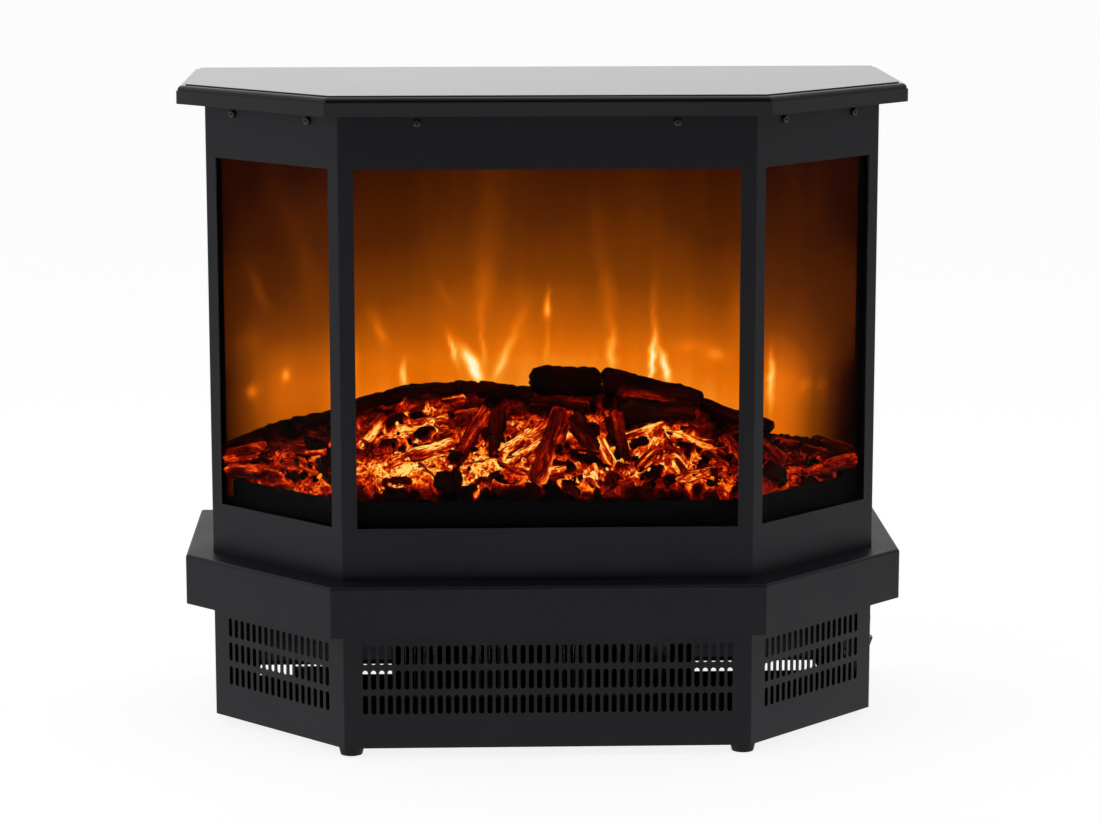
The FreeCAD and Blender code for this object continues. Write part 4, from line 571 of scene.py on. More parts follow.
# Tongues of flame: x, z, half width, reach up, reach down, lean, heat and flare, in millimetres
TONGUES = np.array([
    (-50, 350, 7, 125, 16, 0.09, 0.09, 2.3),
    (60, 315, 4.5, 120, 25, -0.11, 0.085, 1.0),
    (97, 305, 2.5, 62, 20, 0.0, 0.07, 0.2),
    (168, 350, 4, 22, 45, 0.06, 0.05, 0.0),
    (-75, 305, 2.2, 14, 10, -0.3, 0.26, 0),
    (-58, 294, 4.2, 15, 12, -0.5, 0.36, 0.0),
    (-66, 300, 4, 22, 9, -0.6, 0.12, 0.6),
    (-50.6, 312, 2.4, 28, 16, 0.0, 0.13, 0),
    (-34, 296, 3.6, 42, 12, 0.42, 0.16, 0.4),
    (4, 346, 2.8, 14, 9, 0.12, 0.34, -0.4),
    (4.5, 315, 2.2, 30, 16, 0.0, 0.09, 0),
    (-136, 322, 4.6, 19, 8, -0.35, 0.15, 0.2),
    (-117.6, 287, 2.4, 13, 12, 0.0, 0.24, 0),
    (95, 290, 2.4, 24, 12, 0.03, 0.26, 0),
    (96, 306, 2.2, 48, 14, 0.0, 0.09, 0),
    (107.5, 290, 3.0, 22, 10, -0.32, 0.34, 0),
    (149, 303, 8, 6, 6, -0.2, 0.13, 0),
    (128, 311, 14, 6, 6, -0.28, 0.07, 0),
    (-208, 412, 8, 34, 45, -0.3, 0.06, 0.4),
    (-237, 358, 5, 26, 14, -0.45, 0.1, 0),
    (-218.5, 289, 4.5, 6, 6, 0.0, 0.24, 0),
    (-247, 273, 4.5, 6, 6, 0.1, 0.26, 0),
    (-250, 318, 12, 10, 10, 0.0, 0.07, 0),
    (196.5, 288, 2.6, 20, 30, 0.0, 0.26, 0),
    (226, 275, 5, 6, 7, 0.0, 0.12, 0),
    (241, 276, 4, 7, 7, 0.0, 0.12, 0),
    (-82, 355, 4, 16, 12, -0.4, 0.05, 0),
    (-20, 330, 22, 40, 40, 0.2, 0.035, 0),
    (60, 300, 3.4, 26, 14, 0.05, 0.12, 0),
    (-157, 300, 3, 16, 20, 0.0, 0.08, 0),
    (-100, 300, 20, 22, 22, 0.0, 0.04, 0),
    (30, 300, 26, 26, 26, 0.0, 0.03, 0),
])
FLAME_STOPS = [
    (0.0, (0.0015, 0.0001, 0.0)), (0.12, (0.019, 0.0014, 0.0)), (0.28, (0.09, 0.0155, 0.0001)),
    (0.44, (0.22, 0.043, 0.0003)), (0.58, (0.49, 0.095, 0.0006)), (0.7, (0.78, 0.152, 0.0012)),
    (0.82, (1.0, 0.33, 0.02)), (0.92, (1.0, 0.66, 0.17)), (1.0, (1.0, 0.93, 0.6)),
]
# Heights on the screen with its glow, and with the share of the fades beside its middle
GLOW_BY_HEIGHT = (
    [183, 262, 300, 324, 345, 377, 410, 462, 520],
    [0.7, 0.76, 0.7, 0.59, 0.51, 0.405, 0.308, 0.18, 0.1])
NEAR_BY_HEIGHT = ([255, 300, 400, 440, 480], [0.3, 1, 1, 0.5, 0])
# What the glow loses to each side: steps beside the middle, as start, end and loss; start and end of the
# step behind the side pane, with its loss at the heights; and start, width and power of the fall towards
# the screen's end, with its loss at the heights
FADE_HEIGHTS = [255, 281, 307, 341, 375, 418, 461]
LEFT_FADES = (
    [(60, 110, 0.055), (135, 160, 0.045)],
    (160, 192), [0.13, 0.05, 0.06, 0.065, 0.03, 0.0, 0.03],
    (200, 65, 2.6), [0.38, 0.4, 0.26, 0.14, 0.09, 0.09, 0.035])
RIGHT_FADES = (
    [(115, 145, 0.05)],
    (160, 200), [0.05, -0.02, 0.085, 0.14, 0.11, 0.08, 0.035],
    (203, 62, 1.3), [0.7, 0.7, 0.377, 0.134, 0.08, 0.047, 0.025])


def screen_cells(x, z, wide, tall):
    """Places on the screen, counted in cells of a width and a height."""
    return np.stack([x / wide, z / tall, np.zeros_like(x)], -1)


def side_fade(out, z, steps, pane, pane_loss, fall, end_loss):
    """What the glow loses at a distance out from the middle: smooth steps, then a fall by a power."""
    near = np.interp(z, *NEAR_BY_HEIGHT)
    start, width, power = fall
    fade = near * sum(loss * eased(out, low, high) for low, high, loss in steps)
    fade += eased(out, *pane) * np.interp(z, FADE_HEIGHTS, pane_loss)
    end = np.clip((out - start) / width, 0, 1.1) ** power
    return fade + end * np.interp(z, FADE_HEIGHTS, end_loss)


def flame_heat(x, z):
    """Heat of the lit screen: a glow that fades upwards and outwards, soft upright ripples, and tongues
    whose heat falls off as a bell across and along each, round a leaning line that may flare upwards."""
    level = np.interp(z, *GLOW_BY_HEIGHT)
    level -= side_fade(-x, z, *LEFT_FADES) + side_fade(x, z, *RIGHT_FADES)
    ripple = 0.022 * noise(screen_cells(x, z, 9, 90), 1.0, 3, 2)
    drift = 0.03 * noise(screen_cells(x, z, 45, 70), 1.0, 8, 2)
    waver = screen_cells(x, z, 26, 17)
    x = x + 2.6 * noise(waver, 1.0, 51, 2) + 1.1 * noise(waver * 2.7, 1.0, 52)
    z = z + 2.4 * noise(waver * 0.9, 1.0, 53)
    cx, cz, half, up, down, lean, heat, flare = TONGUES.T[:, :, None, None]
    rise = z - cz
    width = half * np.maximum(1 + flare * np.clip(rise / up, 0, 1.5), 0.3)
    across = (x - cx - lean * rise) / width
    along = rise / np.where(rise > 0, up, down)
    tongues = (heat * np.exp(-across ** 2 - along ** 2)).sum(0)
    return np.clip(level + ripple + drift + tongues, 0, 1)


class STOVE_OT_flame_screen(bpy.types.Operator):
    """Frosted flame screen with its lit tongues"""
    bl_idname = "stove.flame_screen"
    bl_label = "Flame screen"

    def execute(self, context):
        fire = context.scene.stove_fire
        low, high = box_of("flame_screen")
        counts = np.ceil((high - low)[[0, 2]] / fire.screen_step).astype(int)
        x, z = np.meshgrid(
            np.linspace(low[0], high[0], counts[0]), np.linspace(low[2], high[2], counts[1]),
            indexing="ij")
        points = np.stack([x, np.full_like(x, low[1]), z], -1).reshape(-1, 3)
        row = np.arange(x.size).reshape(x.shape)
        quads = np.stack([row[:-1, :-1], row[1:, :-1], row[1:, 1:], row[:-1, 1:]], -1).reshape(-1, 4)
        screen = put_piece(
            "flame_screen_lit", (points, quads, np.zeros((0, 3), int)),
            self.finish(fire.flame_strength), "flame_screen",
            attributes={"warmth": flame_heat(x / MM, z / MM).ravel()}, smooth=False)
        sheet = screen.modifiers.new("sheet", "SOLIDIFY")
        sheet.thickness = high[1] - low[1]
        sheet.offset = -1
        return {"FINISHED"}

    def finish(self, strength):
        """Flame colours by the screen's warmth, broken by frost"""
        material, tree, shader = new_finish(
            "lit_flame_screen", Base_Color=(0.004, 0.0012, 0.0004, 1), Specular_IOR_Level=0.02,
            Emission_Strength=strength)
        frost = where(tree, (1, 1, 0.2)).noise(240.0, 3.0)
        heat = attribute(tree, "warmth") + frost.spread(0.0, 1.0, -0.012, 0.012)
        fill(shader, Emission_Color=heat.ramp(FLAME_STOPS),
             Roughness=frost.spread(0.0, 1.0, 0.45, 0.7))
        return material


# Bed plan, in millimetres: crest heights above the bed's base at places along it, half of the straight
# front, the ridge's distance from the back, the drop behind the ridge and the height of the base
CREST_X = [-250, -234, -222, -179, -158, -118, -90, -57, -12,
           36, 78, 106, 123, 146, 168, 191, 233, 250]
CREST_Z = [56, 68, 72, 81, 91, 102, 106, 105, 101, 99, 97, 95, 93, 78, 73, 60, 53, 42]
FRONT_HALF = 157.7
RIDGE_BACK = 40
BACK_DROP = 12
BED_BASE = 184
# Steps round the bed's section, and the shares of the way round at which its nine corners lie
SECTION_STEPS = 168
SHARES = np.linspace(0, 1, SECTION_STEPS, endpoint=False)
CORNER_SHARES = [0, 0.1, 0.2, 0.38, 0.58, 0.72, 0.84, 0.92, 1.0]
# Half of the length over which bits and kindling are strewn, in metres
STREWN_HALF = 0.236
# Places along the bed, in millimetres, and the most glow there: behind the side panes it is dull red
COOL_X = [-195, -160, 100, 190]
COOL_GLOW = [0.56, 1.0, 1.0, 0.45]


def bed_section(x, lip):
    """Section of the bed at each x, and its front line: up the lip, over the ridge, down the back and
    under. Its corners come from the front line and the crest, and are rounded along the share."""
    low, high = box_of("ember_bed")
    front = low[1] + np.maximum(np.abs(x) - FRONT_HALF * MM, 0)
    crest = np.interp(x / MM, CREST_X, CREST_Z) * MM
    back, none = np.full_like(x, high[1]), np.zeros_like(x)
    ridge = back - RIDGE_BACK * MM
    mid = 0.55 * front + 0.45 * ridge
    knee, middle = 0.72 * front + 0.28 * mid, 0.5 * (front + back)
    depths = np.stack([front, front, knee, mid, ridge, back, back, middle, front])
    rises = np.stack([
        none, lip + none, 0.73 * lip + 0.27 * crest, 0.36 * lip + 0.64 * crest, crest,
        crest - BACK_DROP * MM, none, none, none])
    weights = np.stack([np.interp(SHARES, CORNER_SHARES, row) for row in np.eye(len(CORNER_SHARES))])
    weights = sum(np.roll(weights, step, 1) for step in (0, 2, -2, 1, -1)) / 5
    y = np.einsum("kv,ku->uv", weights, depths)
    z = np.einsum("kv,ku->uv", weights, rises) + low[2]
    return np.stack([np.broadcast_to(x[:, None], y.shape), y, z], -1), front


def bed_glow(points):
    """How hot the bed is: most low in the middle, red to the sides, dark at the crest and the lip."""
    x, y, z = np.moveaxis(points / MM, -1, 0)
    crest = np.interp(x, CREST_X, CREST_Z)
    height = (z - BED_BASE) / np.maximum(crest, 1) + 0.1 * noise(points, 0.012, 23, 2)
    band = eased(height, 0.23, 0.44) * (1 - 0.84 * eased(height, 0.7, 0.92))
    middle = 0.64 + 0.52 * np.exp(-((x + 8) / 152) ** 4) - 0.09 * np.clip(x / 160, -1, 1)
    patch = 0.92 + 0.95 * noise(points, 0.036, 21, 3)
    return np.clip(band * middle * patch * (1 - eased(y, -8, 6) * 0.9), 0, 1)


def lump_cells(u, v, width, seed):
    """Field of turned, stretched lumps: reach of the nearest and of the next one, the nearest one's
    number, and the offset from its middle."""
    chance = np.random.default_rng(seed)
    count = int(np.ptp(u) * np.ptp(v) / width ** 2)
    su, sv = chance.uniform(u.min(), u.max(), count), chance.uniform(v.min(), v.max(), count)
    turn, pull = chance.uniform(0, np.pi, count), chance.uniform(1.1, 3.2, count)
    near = np.full((*u.shape, 1), 9.0)
    following, owner = near.copy(), np.zeros((*u.shape, 1), int)
    for block in np.array_split(np.arange(count), max(count // 60, 1)):
        du, dv = u[..., None] - su[block], v[..., None] - sv[block]
        c, s = np.cos(turn[block]), np.sin(turn[block])
        reach = np.hypot((c * du + s * dv) / pull[block], (c * dv - s * du) * 1.3)
        pool = np.concatenate([near, following, reach], -1)
        names = np.concatenate([owner, owner, np.broadcast_to(block, reach.shape)], -1)
        order = np.argpartition(pool, 1, axis=-1)[..., :2]
        picked = np.take_along_axis(pool, order, -1)
        near, following = picked[..., :1], picked[..., 1:]
        owner = np.take_along_axis(names, order[..., :1], -1)
    owner = owner[..., 0]
    return near[..., 0], following[..., 0], owner, u - su[owner], v - sv[owner]


def ember_finish(name, strength, cracks, base, along=None):
    """Charred resin lit from inside: heat colours from the piece's glow, sooty base, rough relief. Its
    pattern lies in object space, or in that of an attribute."""
    material, tree, shader = new_finish(name, Specular_IOR_Level=0.06, Emission_Strength=strength)
    place = attribute(tree, along, "Vector") if along else where(tree)
    heat = place_group(
        tree, ember_heat, Glow=attribute(tree, "glow"), Place=place, Cracks=cracks)
    fill(shader, Emission_Color=heat["Colour"],
         Base_Color=heat["Char"].tint(*shades(base, 0.3, 2.0)),
         Roughness=heat["Char"].spread(0.3, 0.7, 0.7, 0.92),
         Normal=heat["Height"].relief(0.6, 0.0008))
    return material


def put_ember(name, surface, material, glow, **attributes):
    """Piece of the ember bed, its glow held down behind the side panes."""
    most = np.interp(surface[0][:, 0] / MM, COOL_X, COOL_GLOW)
    put_piece(name, surface, material, "ember_bed",
              attributes={"glow": np.minimum(glow, most), **attributes})


class STOVE_OT_ember_mound(bpy.types.Operator):
    """Moulded bed of charcoal lumps with glowing cracks"""
    bl_idname = "stove.ember_mound"
    bl_label = "Ember mound"

    def execute(self, context):
        fire = context.scene.stove_fire
        material = ember_finish(
            "charcoal_bed", fire.ember_strength, cracks=210.0, base=(0.0016, 0.0009, 0.0008))
        low, high = box_of("ember_bed")
        inset, skin, headroom, sections = 0.0006, 0.0004, 0.004, 330
        x = np.linspace(low[0] + inset, high[0] - inset, sections)
        rings, front = bed_section(x, fire.lip_height)
        shown = eased(SHARES, 0.02, 0.1) * (1 - eased(SHARES, 0.66, 0.72))
        depth, glow = self.lumps(rings, fire)
        calm = 1 - 0.6 * eased(SHARES, 0.46, 0.56)
        moved = rings + self.outward(rings) * (depth * shown * calm)[..., None]
        moved[..., 1] = np.clip(moved[..., 1], front[:, None] + skin, high[1])
        moved[..., 2] = np.clip(moved[..., 2], low[2], high[2] + headroom)
        hot = np.clip(bed_glow(rings) * glow * 1.3 * shown, 0, 1)
        dark_ends = [0, 0]
        put_ember("ember_mound", lofted(moved), material, np.concatenate([hot.ravel(), dark_ends]))
        return {"FINISHED"}

    def lumps(self, rings, fire):
        """Relief and glow over the bed: tilted lumps, parted by sunk and glowing seams"""
        along = np.linalg.norm(np.diff(rings, axis=1, prepend=rings[:, :1]), axis=-1).cumsum(1)
        bend, sway = (0.007 * noise(rings, 0.018, seed, 3) for seed in (5, 6))
        width = fire.lump_width
        near, following, owner, du, dv = lump_cells(rings[..., 0] + bend, along + sway, width, 11)
        chance = np.random.default_rng(12)
        lift, tilt_u, tilt_v = chance.uniform(-0.4, 0.5, (3, owner.max() + 1))
        warm = np.where(chance.random(owner.max() + 1) > 0.52, 0.85, 0.06)[owner]
        seam = np.exp(-((following - near) / (0.15 * width)) ** 2)
        lean = (tilt_u[owner] * du + tilt_v[owner] * dv) / (0.6 * width)
        facet = np.clip(lift[owner] + lean, -0.6, 0.9)
        depth = fire.lump_depth * (facet * (1 - seam) - 0.7 * seam)
        depth += 0.003 * noise(rings, 0.011, 14, 4)
        patch = np.clip(0.55 + 0.9 * noise(rings, 0.013, 30, 3), 0, 1.2)
        return depth, np.maximum(seam * (0.55 + 0.6 * patch), warm * patch)

    def outward(self, rings):
        """Unit normals of the rings, turned away from each ring's middle"""
        normal = np.cross(np.gradient(rings, axis=0), np.gradient(rings, axis=1))
        normal /= np.maximum(np.linalg.norm(normal, axis=-1, keepdims=True), 1e-9)
        from_middle = rings - rings.mean(1, keepdims=True)
        return normal * np.sign((normal * from_middle).sum(-1, keepdims=True))


# Logs, in millimetres: both ends on the bed, both radii, glow at both ends, and how far it is sunk
LOGS = [
    ((-126, -50, 252), (-52, -43, 267), 9.5, 8.0, 1.0, 0.9, 0.1),
    ((-78, -93, 226), (-48, -40, 271), 8.5, 7.5, 0.42, 0.56, 0.0),
    ((-43, -101, 216), (-40, -43, 271), 7.0, 7.5, 0.12, 0.16, 0.0),
    ((-9, -99, 220), (17, -41, 271), 9.5, 9.5, 0.46, 0.56, 0.0),
    ((-38, -78, 241), (10, -48, 265), 6.2, 4.8, 1.0, 1.0, 0.1),
    ((-37, -90, 231), (0, -66, 253), 5.2, 4.2, 0.95, 1.0, 0.1),
    ((24, -47, 267), (42, -79, 242), 8.0, 7.0, 0.1, 0.22, 0.0),
    ((57, -44, 267), (64, -85, 236), 7.5, 6.5, 0.2, 0.14, 0.0),
    ((64, -36, 269), (124, -24, 264), 10.5, 9.5, 0.05, 0.08, 0.0),
    ((62, -14, 280), (112, -12, 272), 7.0, 6.5, 0.22, 0.16, 0.0),
    ((106, -56, 253), (140, -72, 240), 6.0, 5.2, 0.95, 0.85, 0.1),
    ((107, -98, 223), (144, -85, 231), 5.0, 4.0, 1.0, 1.0, 0.1),
    ((-243, -12, 226), (-182, -27, 250), 8.0, 7.5, 0.2, 0.3, 0.4),
    ((-156, -69, 241), (-132, -31, 264), 7.5, 7.0, 0.95, 0.5, 0.1),
    ((-130, -81, 235), (-76, -72, 249), 7.2, 6.0, 1.0, 1.0, 0.1),
    ((-90, -86, 234), (-118, -97, 225), 5.6, 4.6, 1.0, 0.9, 0.1),
    ((-68, -91, 231), (-40, -87, 236), 5.6, 5.0, 1.0, 0.9, 0.1),
    ((2, -96, 228), (28, -89, 234), 5.6, 5.0, 1.0, 0.9, 0.1),
    ((44, -66, 250), (54, -88, 234), 6.5, 5.5, 1.0, 1.0, 0.1),
    ((150, -46, 250), (164, -82, 228), 6.0, 5.4, 0.4, 0.55, 0.2),
    ((192, -14, 240), (242, -2, 226), 6.0, 5.0, 0.34, 0.5, 0.4),
    ((-10, 2, 286), (49, 0, 287), 15.0, 12.5, 0.02, 0.05, 0.0),
    ((51, 1, 287), (132, -4, 271), 13.5, 9.5, 0.03, 0.08, 0.0),
    ((-132, -6, 272), (-70, -8, 281), 11.0, 9.0, 0.05, 0.1, 0.1),
    ((-72, -6, 281), (-8, -4, 277), 10.0, 10.0, 0.06, 0.05, 0.2),
    ((-200, -2, 250), (-128, -4, 272), 10.0, 11.0, 0.04, 0.06, 0.2),
    ((130, -2, 268), (192, 0, 246), 10.0, 9.0, 0.06, 0.05, 0.3),
    ((-112, -26, 268), (-66, -21, 276), 6.5, 6.0, 0.3, 0.4, 0.1),
    ((-12, -27, 274), (38, -29, 272), 7.5, 6.5, 0.16, 0.3, 0.1),
    ((-172, -60, 236), (-148, -42, 252), 6.0, 6.0, 0.7, 0.5, 0.2),
    ((66, -64, 250), (98, -48, 258), 6.0, 5.4, 0.85, 0.9, 0.1),
    ((74, -90, 232), (94, -72, 244), 5.4, 5.0, 0.6, 0.8, 0.1),
    ((-216, -40, 228), (-176, -54, 236), 6.0, 5.4, 0.4, 0.5, 0.3),
    ((168, -32, 249), (198, -54, 231), 6.0, 5.0, 0.4, 0.4, 0.3),
    ((-264, -8, 216), (-236, -42, 221), 5.5, 6.0, 0.5, 0.5, 0.0),
    ((-266, 2, 224), (-232, -16, 234), 8.0, 8.0, 0.4, 0.46, 0.0),
    ((-267, 16, 224), (-222, 6, 244), 9.0, 10.0, 0.05, 0.06, 0.0),
    ((238, -24, 219), (263, 6, 218), 6.0, 6.5, 0.34, 0.4, 0.0),
    ((228, 6, 232), (264, 18, 222), 8.0, 7.0, 0.1, 0.3, 0.0),
]


def log_surface(start, end, radius_a, radius_b, sunk, bark, seed, rows, columns):
    """Charred log: a circle carried along a slightly bowed line, its radius tapered, split by grain that
    runs with the line, checked across by char, and broken off unevenly at the ends. Given back with the
    shares along it, the angles round it, its mottle and the places of its fibres."""
    start, end = np.array(start) * MM, np.array(end) * MM
    share = np.linspace(0, 1, rows)
    axis = end - start
    length = np.linalg.norm(axis)
    axis = axis / length
    side = np.cross(axis, [0.0, 0.0, 1.0])
    side /= np.linalg.norm(side)
    top = np.cross(side, axis)
    angle = np.linspace(0, 2 * np.pi, columns, endpoint=False)
    cos, sin = np.cos(angle), np.sin(angle)
    radius = (radius_a + (radius_b - radius_a) * share) * MM
    from_end = np.minimum(share, 1 - share) * length / radius
    round_end = np.sqrt(np.clip(1 - np.clip(1 - from_end / 0.3, 0, 1) ** 2, 0.3, 1))
    grid = np.stack(np.broadcast_arrays(share[:, None] * length / 0.03, 2.2 * cos, 2.2 * sin), -1)
    grain = noise(grid * [1, 3, 3], 1.0, seed, 3)
    grain -= 1.1 * np.abs(noise(grid * [0.8, 2.1, 2.1], 1.0, seed + 9, 2))
    swell = noise(grid * [1.2, 0.6, 0.6], 1.0, seed + 3, 4)
    char = np.abs(noise(grid * [2.6, 0.9, 0.9], 1.0, seed + 6, 3))
    bark = bark * np.clip(radius / (7 * MM), 0.6, 1.6)[:, None]
    girth = radius[:, None] * (1.06 + 0.26 * swell - 0.42 * np.clip(0.16 - char, 0, 1))
    size = (girth + bark * grain) * round_end[:, None]
    bend = noise(np.full((1, 3), seed * 1.7), 1.0, seed)[0]
    bow = 0.05 * length * np.sin(np.pi * share) * bend
    centre = start + axis * (share * length)[:, None] + side * bow[:, None]
    centre[:, 2] -= sunk * radius
    rings = centre[:, None] + size[..., None] * (cos[:, None] * side + sin[:, None] * top)
    rim = np.stack([cos, sin, np.full_like(angle, 3.1 * seed)], -1)
    jag = noise(rim * 1.6, 1.0, seed + 5, 2)
    reach = radius * 0.7 * np.clip(1 - from_end / 1.4, 0, 1) * np.sign(share - 0.5)
    rings += (jag[None] * reach[:, None])[..., None] * axis
    fibre = np.stack(np.broadcast_arrays(
        share[:, None] * length * 0.45 + seed * 0.37,
        radius[:, None] * 1.9 * cos, radius[:, None] * 1.9 * sin), -1)
    spots = 0.4 + 0.9 * eased(noise(grid * [1.3, 0.5, 0.5], 1.0, seed + 12, 2), -0.4, 0.4)
    mottle = spots * np.clip(0.84 - 0.8 * grain, 0.1, 1.6)
    return lofted(rings), share, angle, mottle, fibre


class STOVE_OT_logs(bpy.types.Operator):
    """Charred logs lying in the embers"""
    bl_idname = "stove.logs"
    bl_label = "Logs"

    def execute(self, context):
        fire = context.scene.stove_fire
        material = ember_finish(
            "charred_log", fire.ember_strength, cracks=230.0, base=(0.002, 0.001, 0.0008),
            along="fibre")
        log_grid, stick_grid, first_seed = (46, 30), (18, 12), 40
        sticks = [(*log, *log_grid) for log in LOGS]
        sticks += [(*stick, *stick_grid) for stick in self.kindling(fire)]
        surfaces, glows, fibres = [], [], []
        for number, stick in enumerate(sticks):
            start, end, radius_a, radius_b, glow_a, glow_b, sunk, rows, columns = stick
            surface, share, angle, mottle, fibre = log_surface(
                start, end, radius_a, radius_b, sunk, fire.bark_depth, first_seed + number, rows,
                columns)
            # Each log glows brighter on its upper flank, turned a little for each log: painted light for
            # the log's lit side, laid over its own glow.
            painted_lit_flank = 0.3 + 0.8 * eased(np.sin(angle + 0.6 * np.sin(number * 2.4)), -0.5, 0.6)
            glow = (glow_a + (glow_b - glow_a) * share)[:, None] * mottle * painted_lit_flank
            ends = [glow_a * 0.5, glow_b * 0.5]
            surfaces.append(surface)
            glows.append(np.concatenate([np.clip(glow, 0, 1).ravel(), ends]))
            fibres += [fibre.reshape(-1, 3), fibre[:1].mean(1), fibre[-1:].mean(1)]
        put_ember("ember_logs", merged(surfaces), material, np.concatenate(glows),
                  fibre=np.concatenate(fibres))
        return {"FINISHED"}

    def kindling(self, fire):
        """Small sticks with both ends on the bed's front slope, as hot as the bed under them"""
        chance = np.random.default_rng(31)
        count = fire.stick_count
        turn = chance.uniform(-1.25, 1.25, count)
        length = chance.uniform(0.014, 0.036, count)
        x = np.sort(chance.uniform(-1, 1, count))
        x = STREWN_HALF * np.sign(x) * np.abs(x) ** 0.7
        share = chance.uniform(0.15, 0.4, count)
        first_step, last_step, girth = 14, 78, 0.42
        ends = []
        for way in (-0.5, 0.5):
            rings, _ = bed_section(x + way * length * np.sin(turn), fire.lip_height)
            step = (share + way * length * np.cos(turn) / girth) * SECTION_STEPS
            step = np.clip(step, first_step, last_step).astype(int)
            ends.append(rings[np.arange(count), step])
        heat = bed_glow((ends[0] + ends[1]) / 2) * chance.uniform(0.45, 1.35, count)
        width = chance.uniform(1.4, 3.6, count)
        return [(a / MM, b / MM, w, 0.8 * w, h, 0.9 * h, -0.35)
                for a, b, w, h in zip(*ends, width, np.clip(heat, 0.03, 1))]


# Black coals, in millimetres: place on the bed, size and glow
COALS = [
    ((-80, -99, 224), 7.5, 0.04),
    ((-12, -106, 217), 7.5, 0.04),
    ((101, -97, 223), 7.0, 0.04),
    ((-181, -65, 230), 7.0, 0.04),
    ((189, -68, 221), 6.5, 0.04),
    ((36, -60, 258), 6.0, 0.06),
    ((78, -70, 246), 6.5, 0.06),
    ((-30, -96, 224), 6.0, 0.1),
    ((52, -98, 222), 6.0, 0.12),
    ((-118, -96, 223), 6.5, 0.1),
    ((136, -92, 223), 6.5, 0.1),
    ((-150, -98, 219), 6.5, 0.08),
    ((20, -104, 216), 5.5, 0.1),
]


def pillow_blocks(centres, sizes, squareness, seed, rows, columns):
    """Rough blocks: superquadrics, sign(cos) times a power of cos on both angles, turned and dented."""
    chance = np.random.default_rng(seed)
    count = len(centres)
    lat = np.linspace(-np.pi / 2, np.pi / 2, rows + 2)[1:-1, None]
    lon = np.linspace(0, 2 * np.pi, columns, endpoint=False)
    flat, rise, across, aloft = (
        np.sign(value) * np.abs(value) ** squareness
        for value in (np.cos(lat), np.sin(lat), np.cos(lon), np.sin(lon)))
    shape = np.stack(np.broadcast_arrays(flat * across, flat * aloft, rise), -1)
    stretch = chance.uniform(0.5, 1.5, (count, 1, 1, 3))
    turns = np.linalg.qr(chance.normal(size=(count, 3, 3)))[0]
    body = shape * stretch * (1 + 0.16 * chance.uniform(-1, 1, (count, rows, columns, 1)))
    body = np.einsum("kij,krcj->krci", turns, body) * np.asarray(sizes)[:, None, None, None]
    return [lofted(block) for block in body + np.asarray(centres)[:, None, None, :]]


class STOVE_OT_coals(bpy.types.Operator):
    """Black coals and the small ember bits strewn over the bed"""
    bl_idname = "stove.coals"
    bl_label = "Coals and ember bits"

    def execute(self, context):
        fire = context.scene.stove_fire
        material = ember_finish(
            "loose_coal", fire.ember_strength, cracks=190.0, base=(0.0016, 0.0011, 0.001))
        places, widths, glows = (np.array(column) for column in zip(*COALS))
        blocks = pillow_blocks(places * MM, widths * MM, 0.45, seed=5, rows=14, columns=22)
        self.put("black_coals", blocks, glows, material)

        chance = np.random.default_rng(77)
        x = np.sort(chance.uniform(-STREWN_HALF, STREWN_HALF, fire.bit_count))
        step = (chance.beta(1.3, 2.2, fire.bit_count) * 0.34 + 0.115) * SECTION_STEPS
        rings, _ = bed_section(x, fire.lip_height)
        settled = [0, 0.002, 0.0008]
        spots = rings[np.arange(len(x)), step.astype(int)] + settled
        sizes = chance.uniform(0.0009, 0.003, len(x))
        bits = pillow_blocks(spots, sizes, 0.5, seed=9, rows=4, columns=7)
        heat = np.clip(bed_glow(spots) * chance.uniform(0.3, 1.6, len(x)), 0, 1)
        heat *= chance.random(len(x)) > 0.25
        self.put("ember_bits", bits, heat, material)
        return {"FINISHED"}

    def put(self, name, blocks, glows, material):
        """Blocks as one piece, each with its own glow"""
        put_ember(name, merged(blocks), material, np.repeat(glows, len(blocks[0][0])))


# Screw seats, in millimetres, and ways out: mantel screws under the overhang, the others on the back
SLANT = np.sqrt(0.5)
MANTEL_SEATS = [
    ((side * x, y, 518.0), (side * across, -across or -1, 0))
    for side in (-1, 1)
    for x, y, across in ((103.0, -130.0, 0), (190.1, -105.6, SLANT), (253.1, -42.6, SLANT))
]
PANEL_SEATS = [
    ((side * 269.5, 146.5, z), (0, 1, 0))
    for side in (-1, 1)
    for z in (38.0, 76.0, 178.0, 283.67, 389.33, 495.0)
]
COVER_SEATS = [((side * 96.0, 147.5, z), (0, 1, 0)) for side in (-1, 1) for z in (214.0, 282.0)]
# Screws by node: seats and height of the head in millimetres
SCREWS = {
    "mantel_screws": (MANTEL_SEATS, 2.4),
    "panel_screws": (PANEL_SEATS, 1.8),
    "cover_screws": (COVER_SEATS, 1.8),
}


def turned(profile, columns):
    """Profile of (radius, height) pairs turned round a line: places across, aloft and along it."""
    angle = np.linspace(0, 2 * np.pi, columns, endpoint=False)
    radius, height = profile[:, :1], profile[:, 1:2]
    across = radius * np.cos(angle)
    return across, radius * np.sin(angle), np.broadcast_to(height, across.shape)


def stood(across, aloft, height, seat, outward):
    """Closed surface of turned rings, in millimetres, on a seat with their line level and outward."""
    outward = np.array(outward, float)
    first = np.cross([0.0, 0.0, 1.0], outward)
    second = np.cross(outward, first)
    rings = np.array(seat) + across[..., None] * first + aloft[..., None] * second
    return lofted((rings + height[..., None] * outward) * MM)


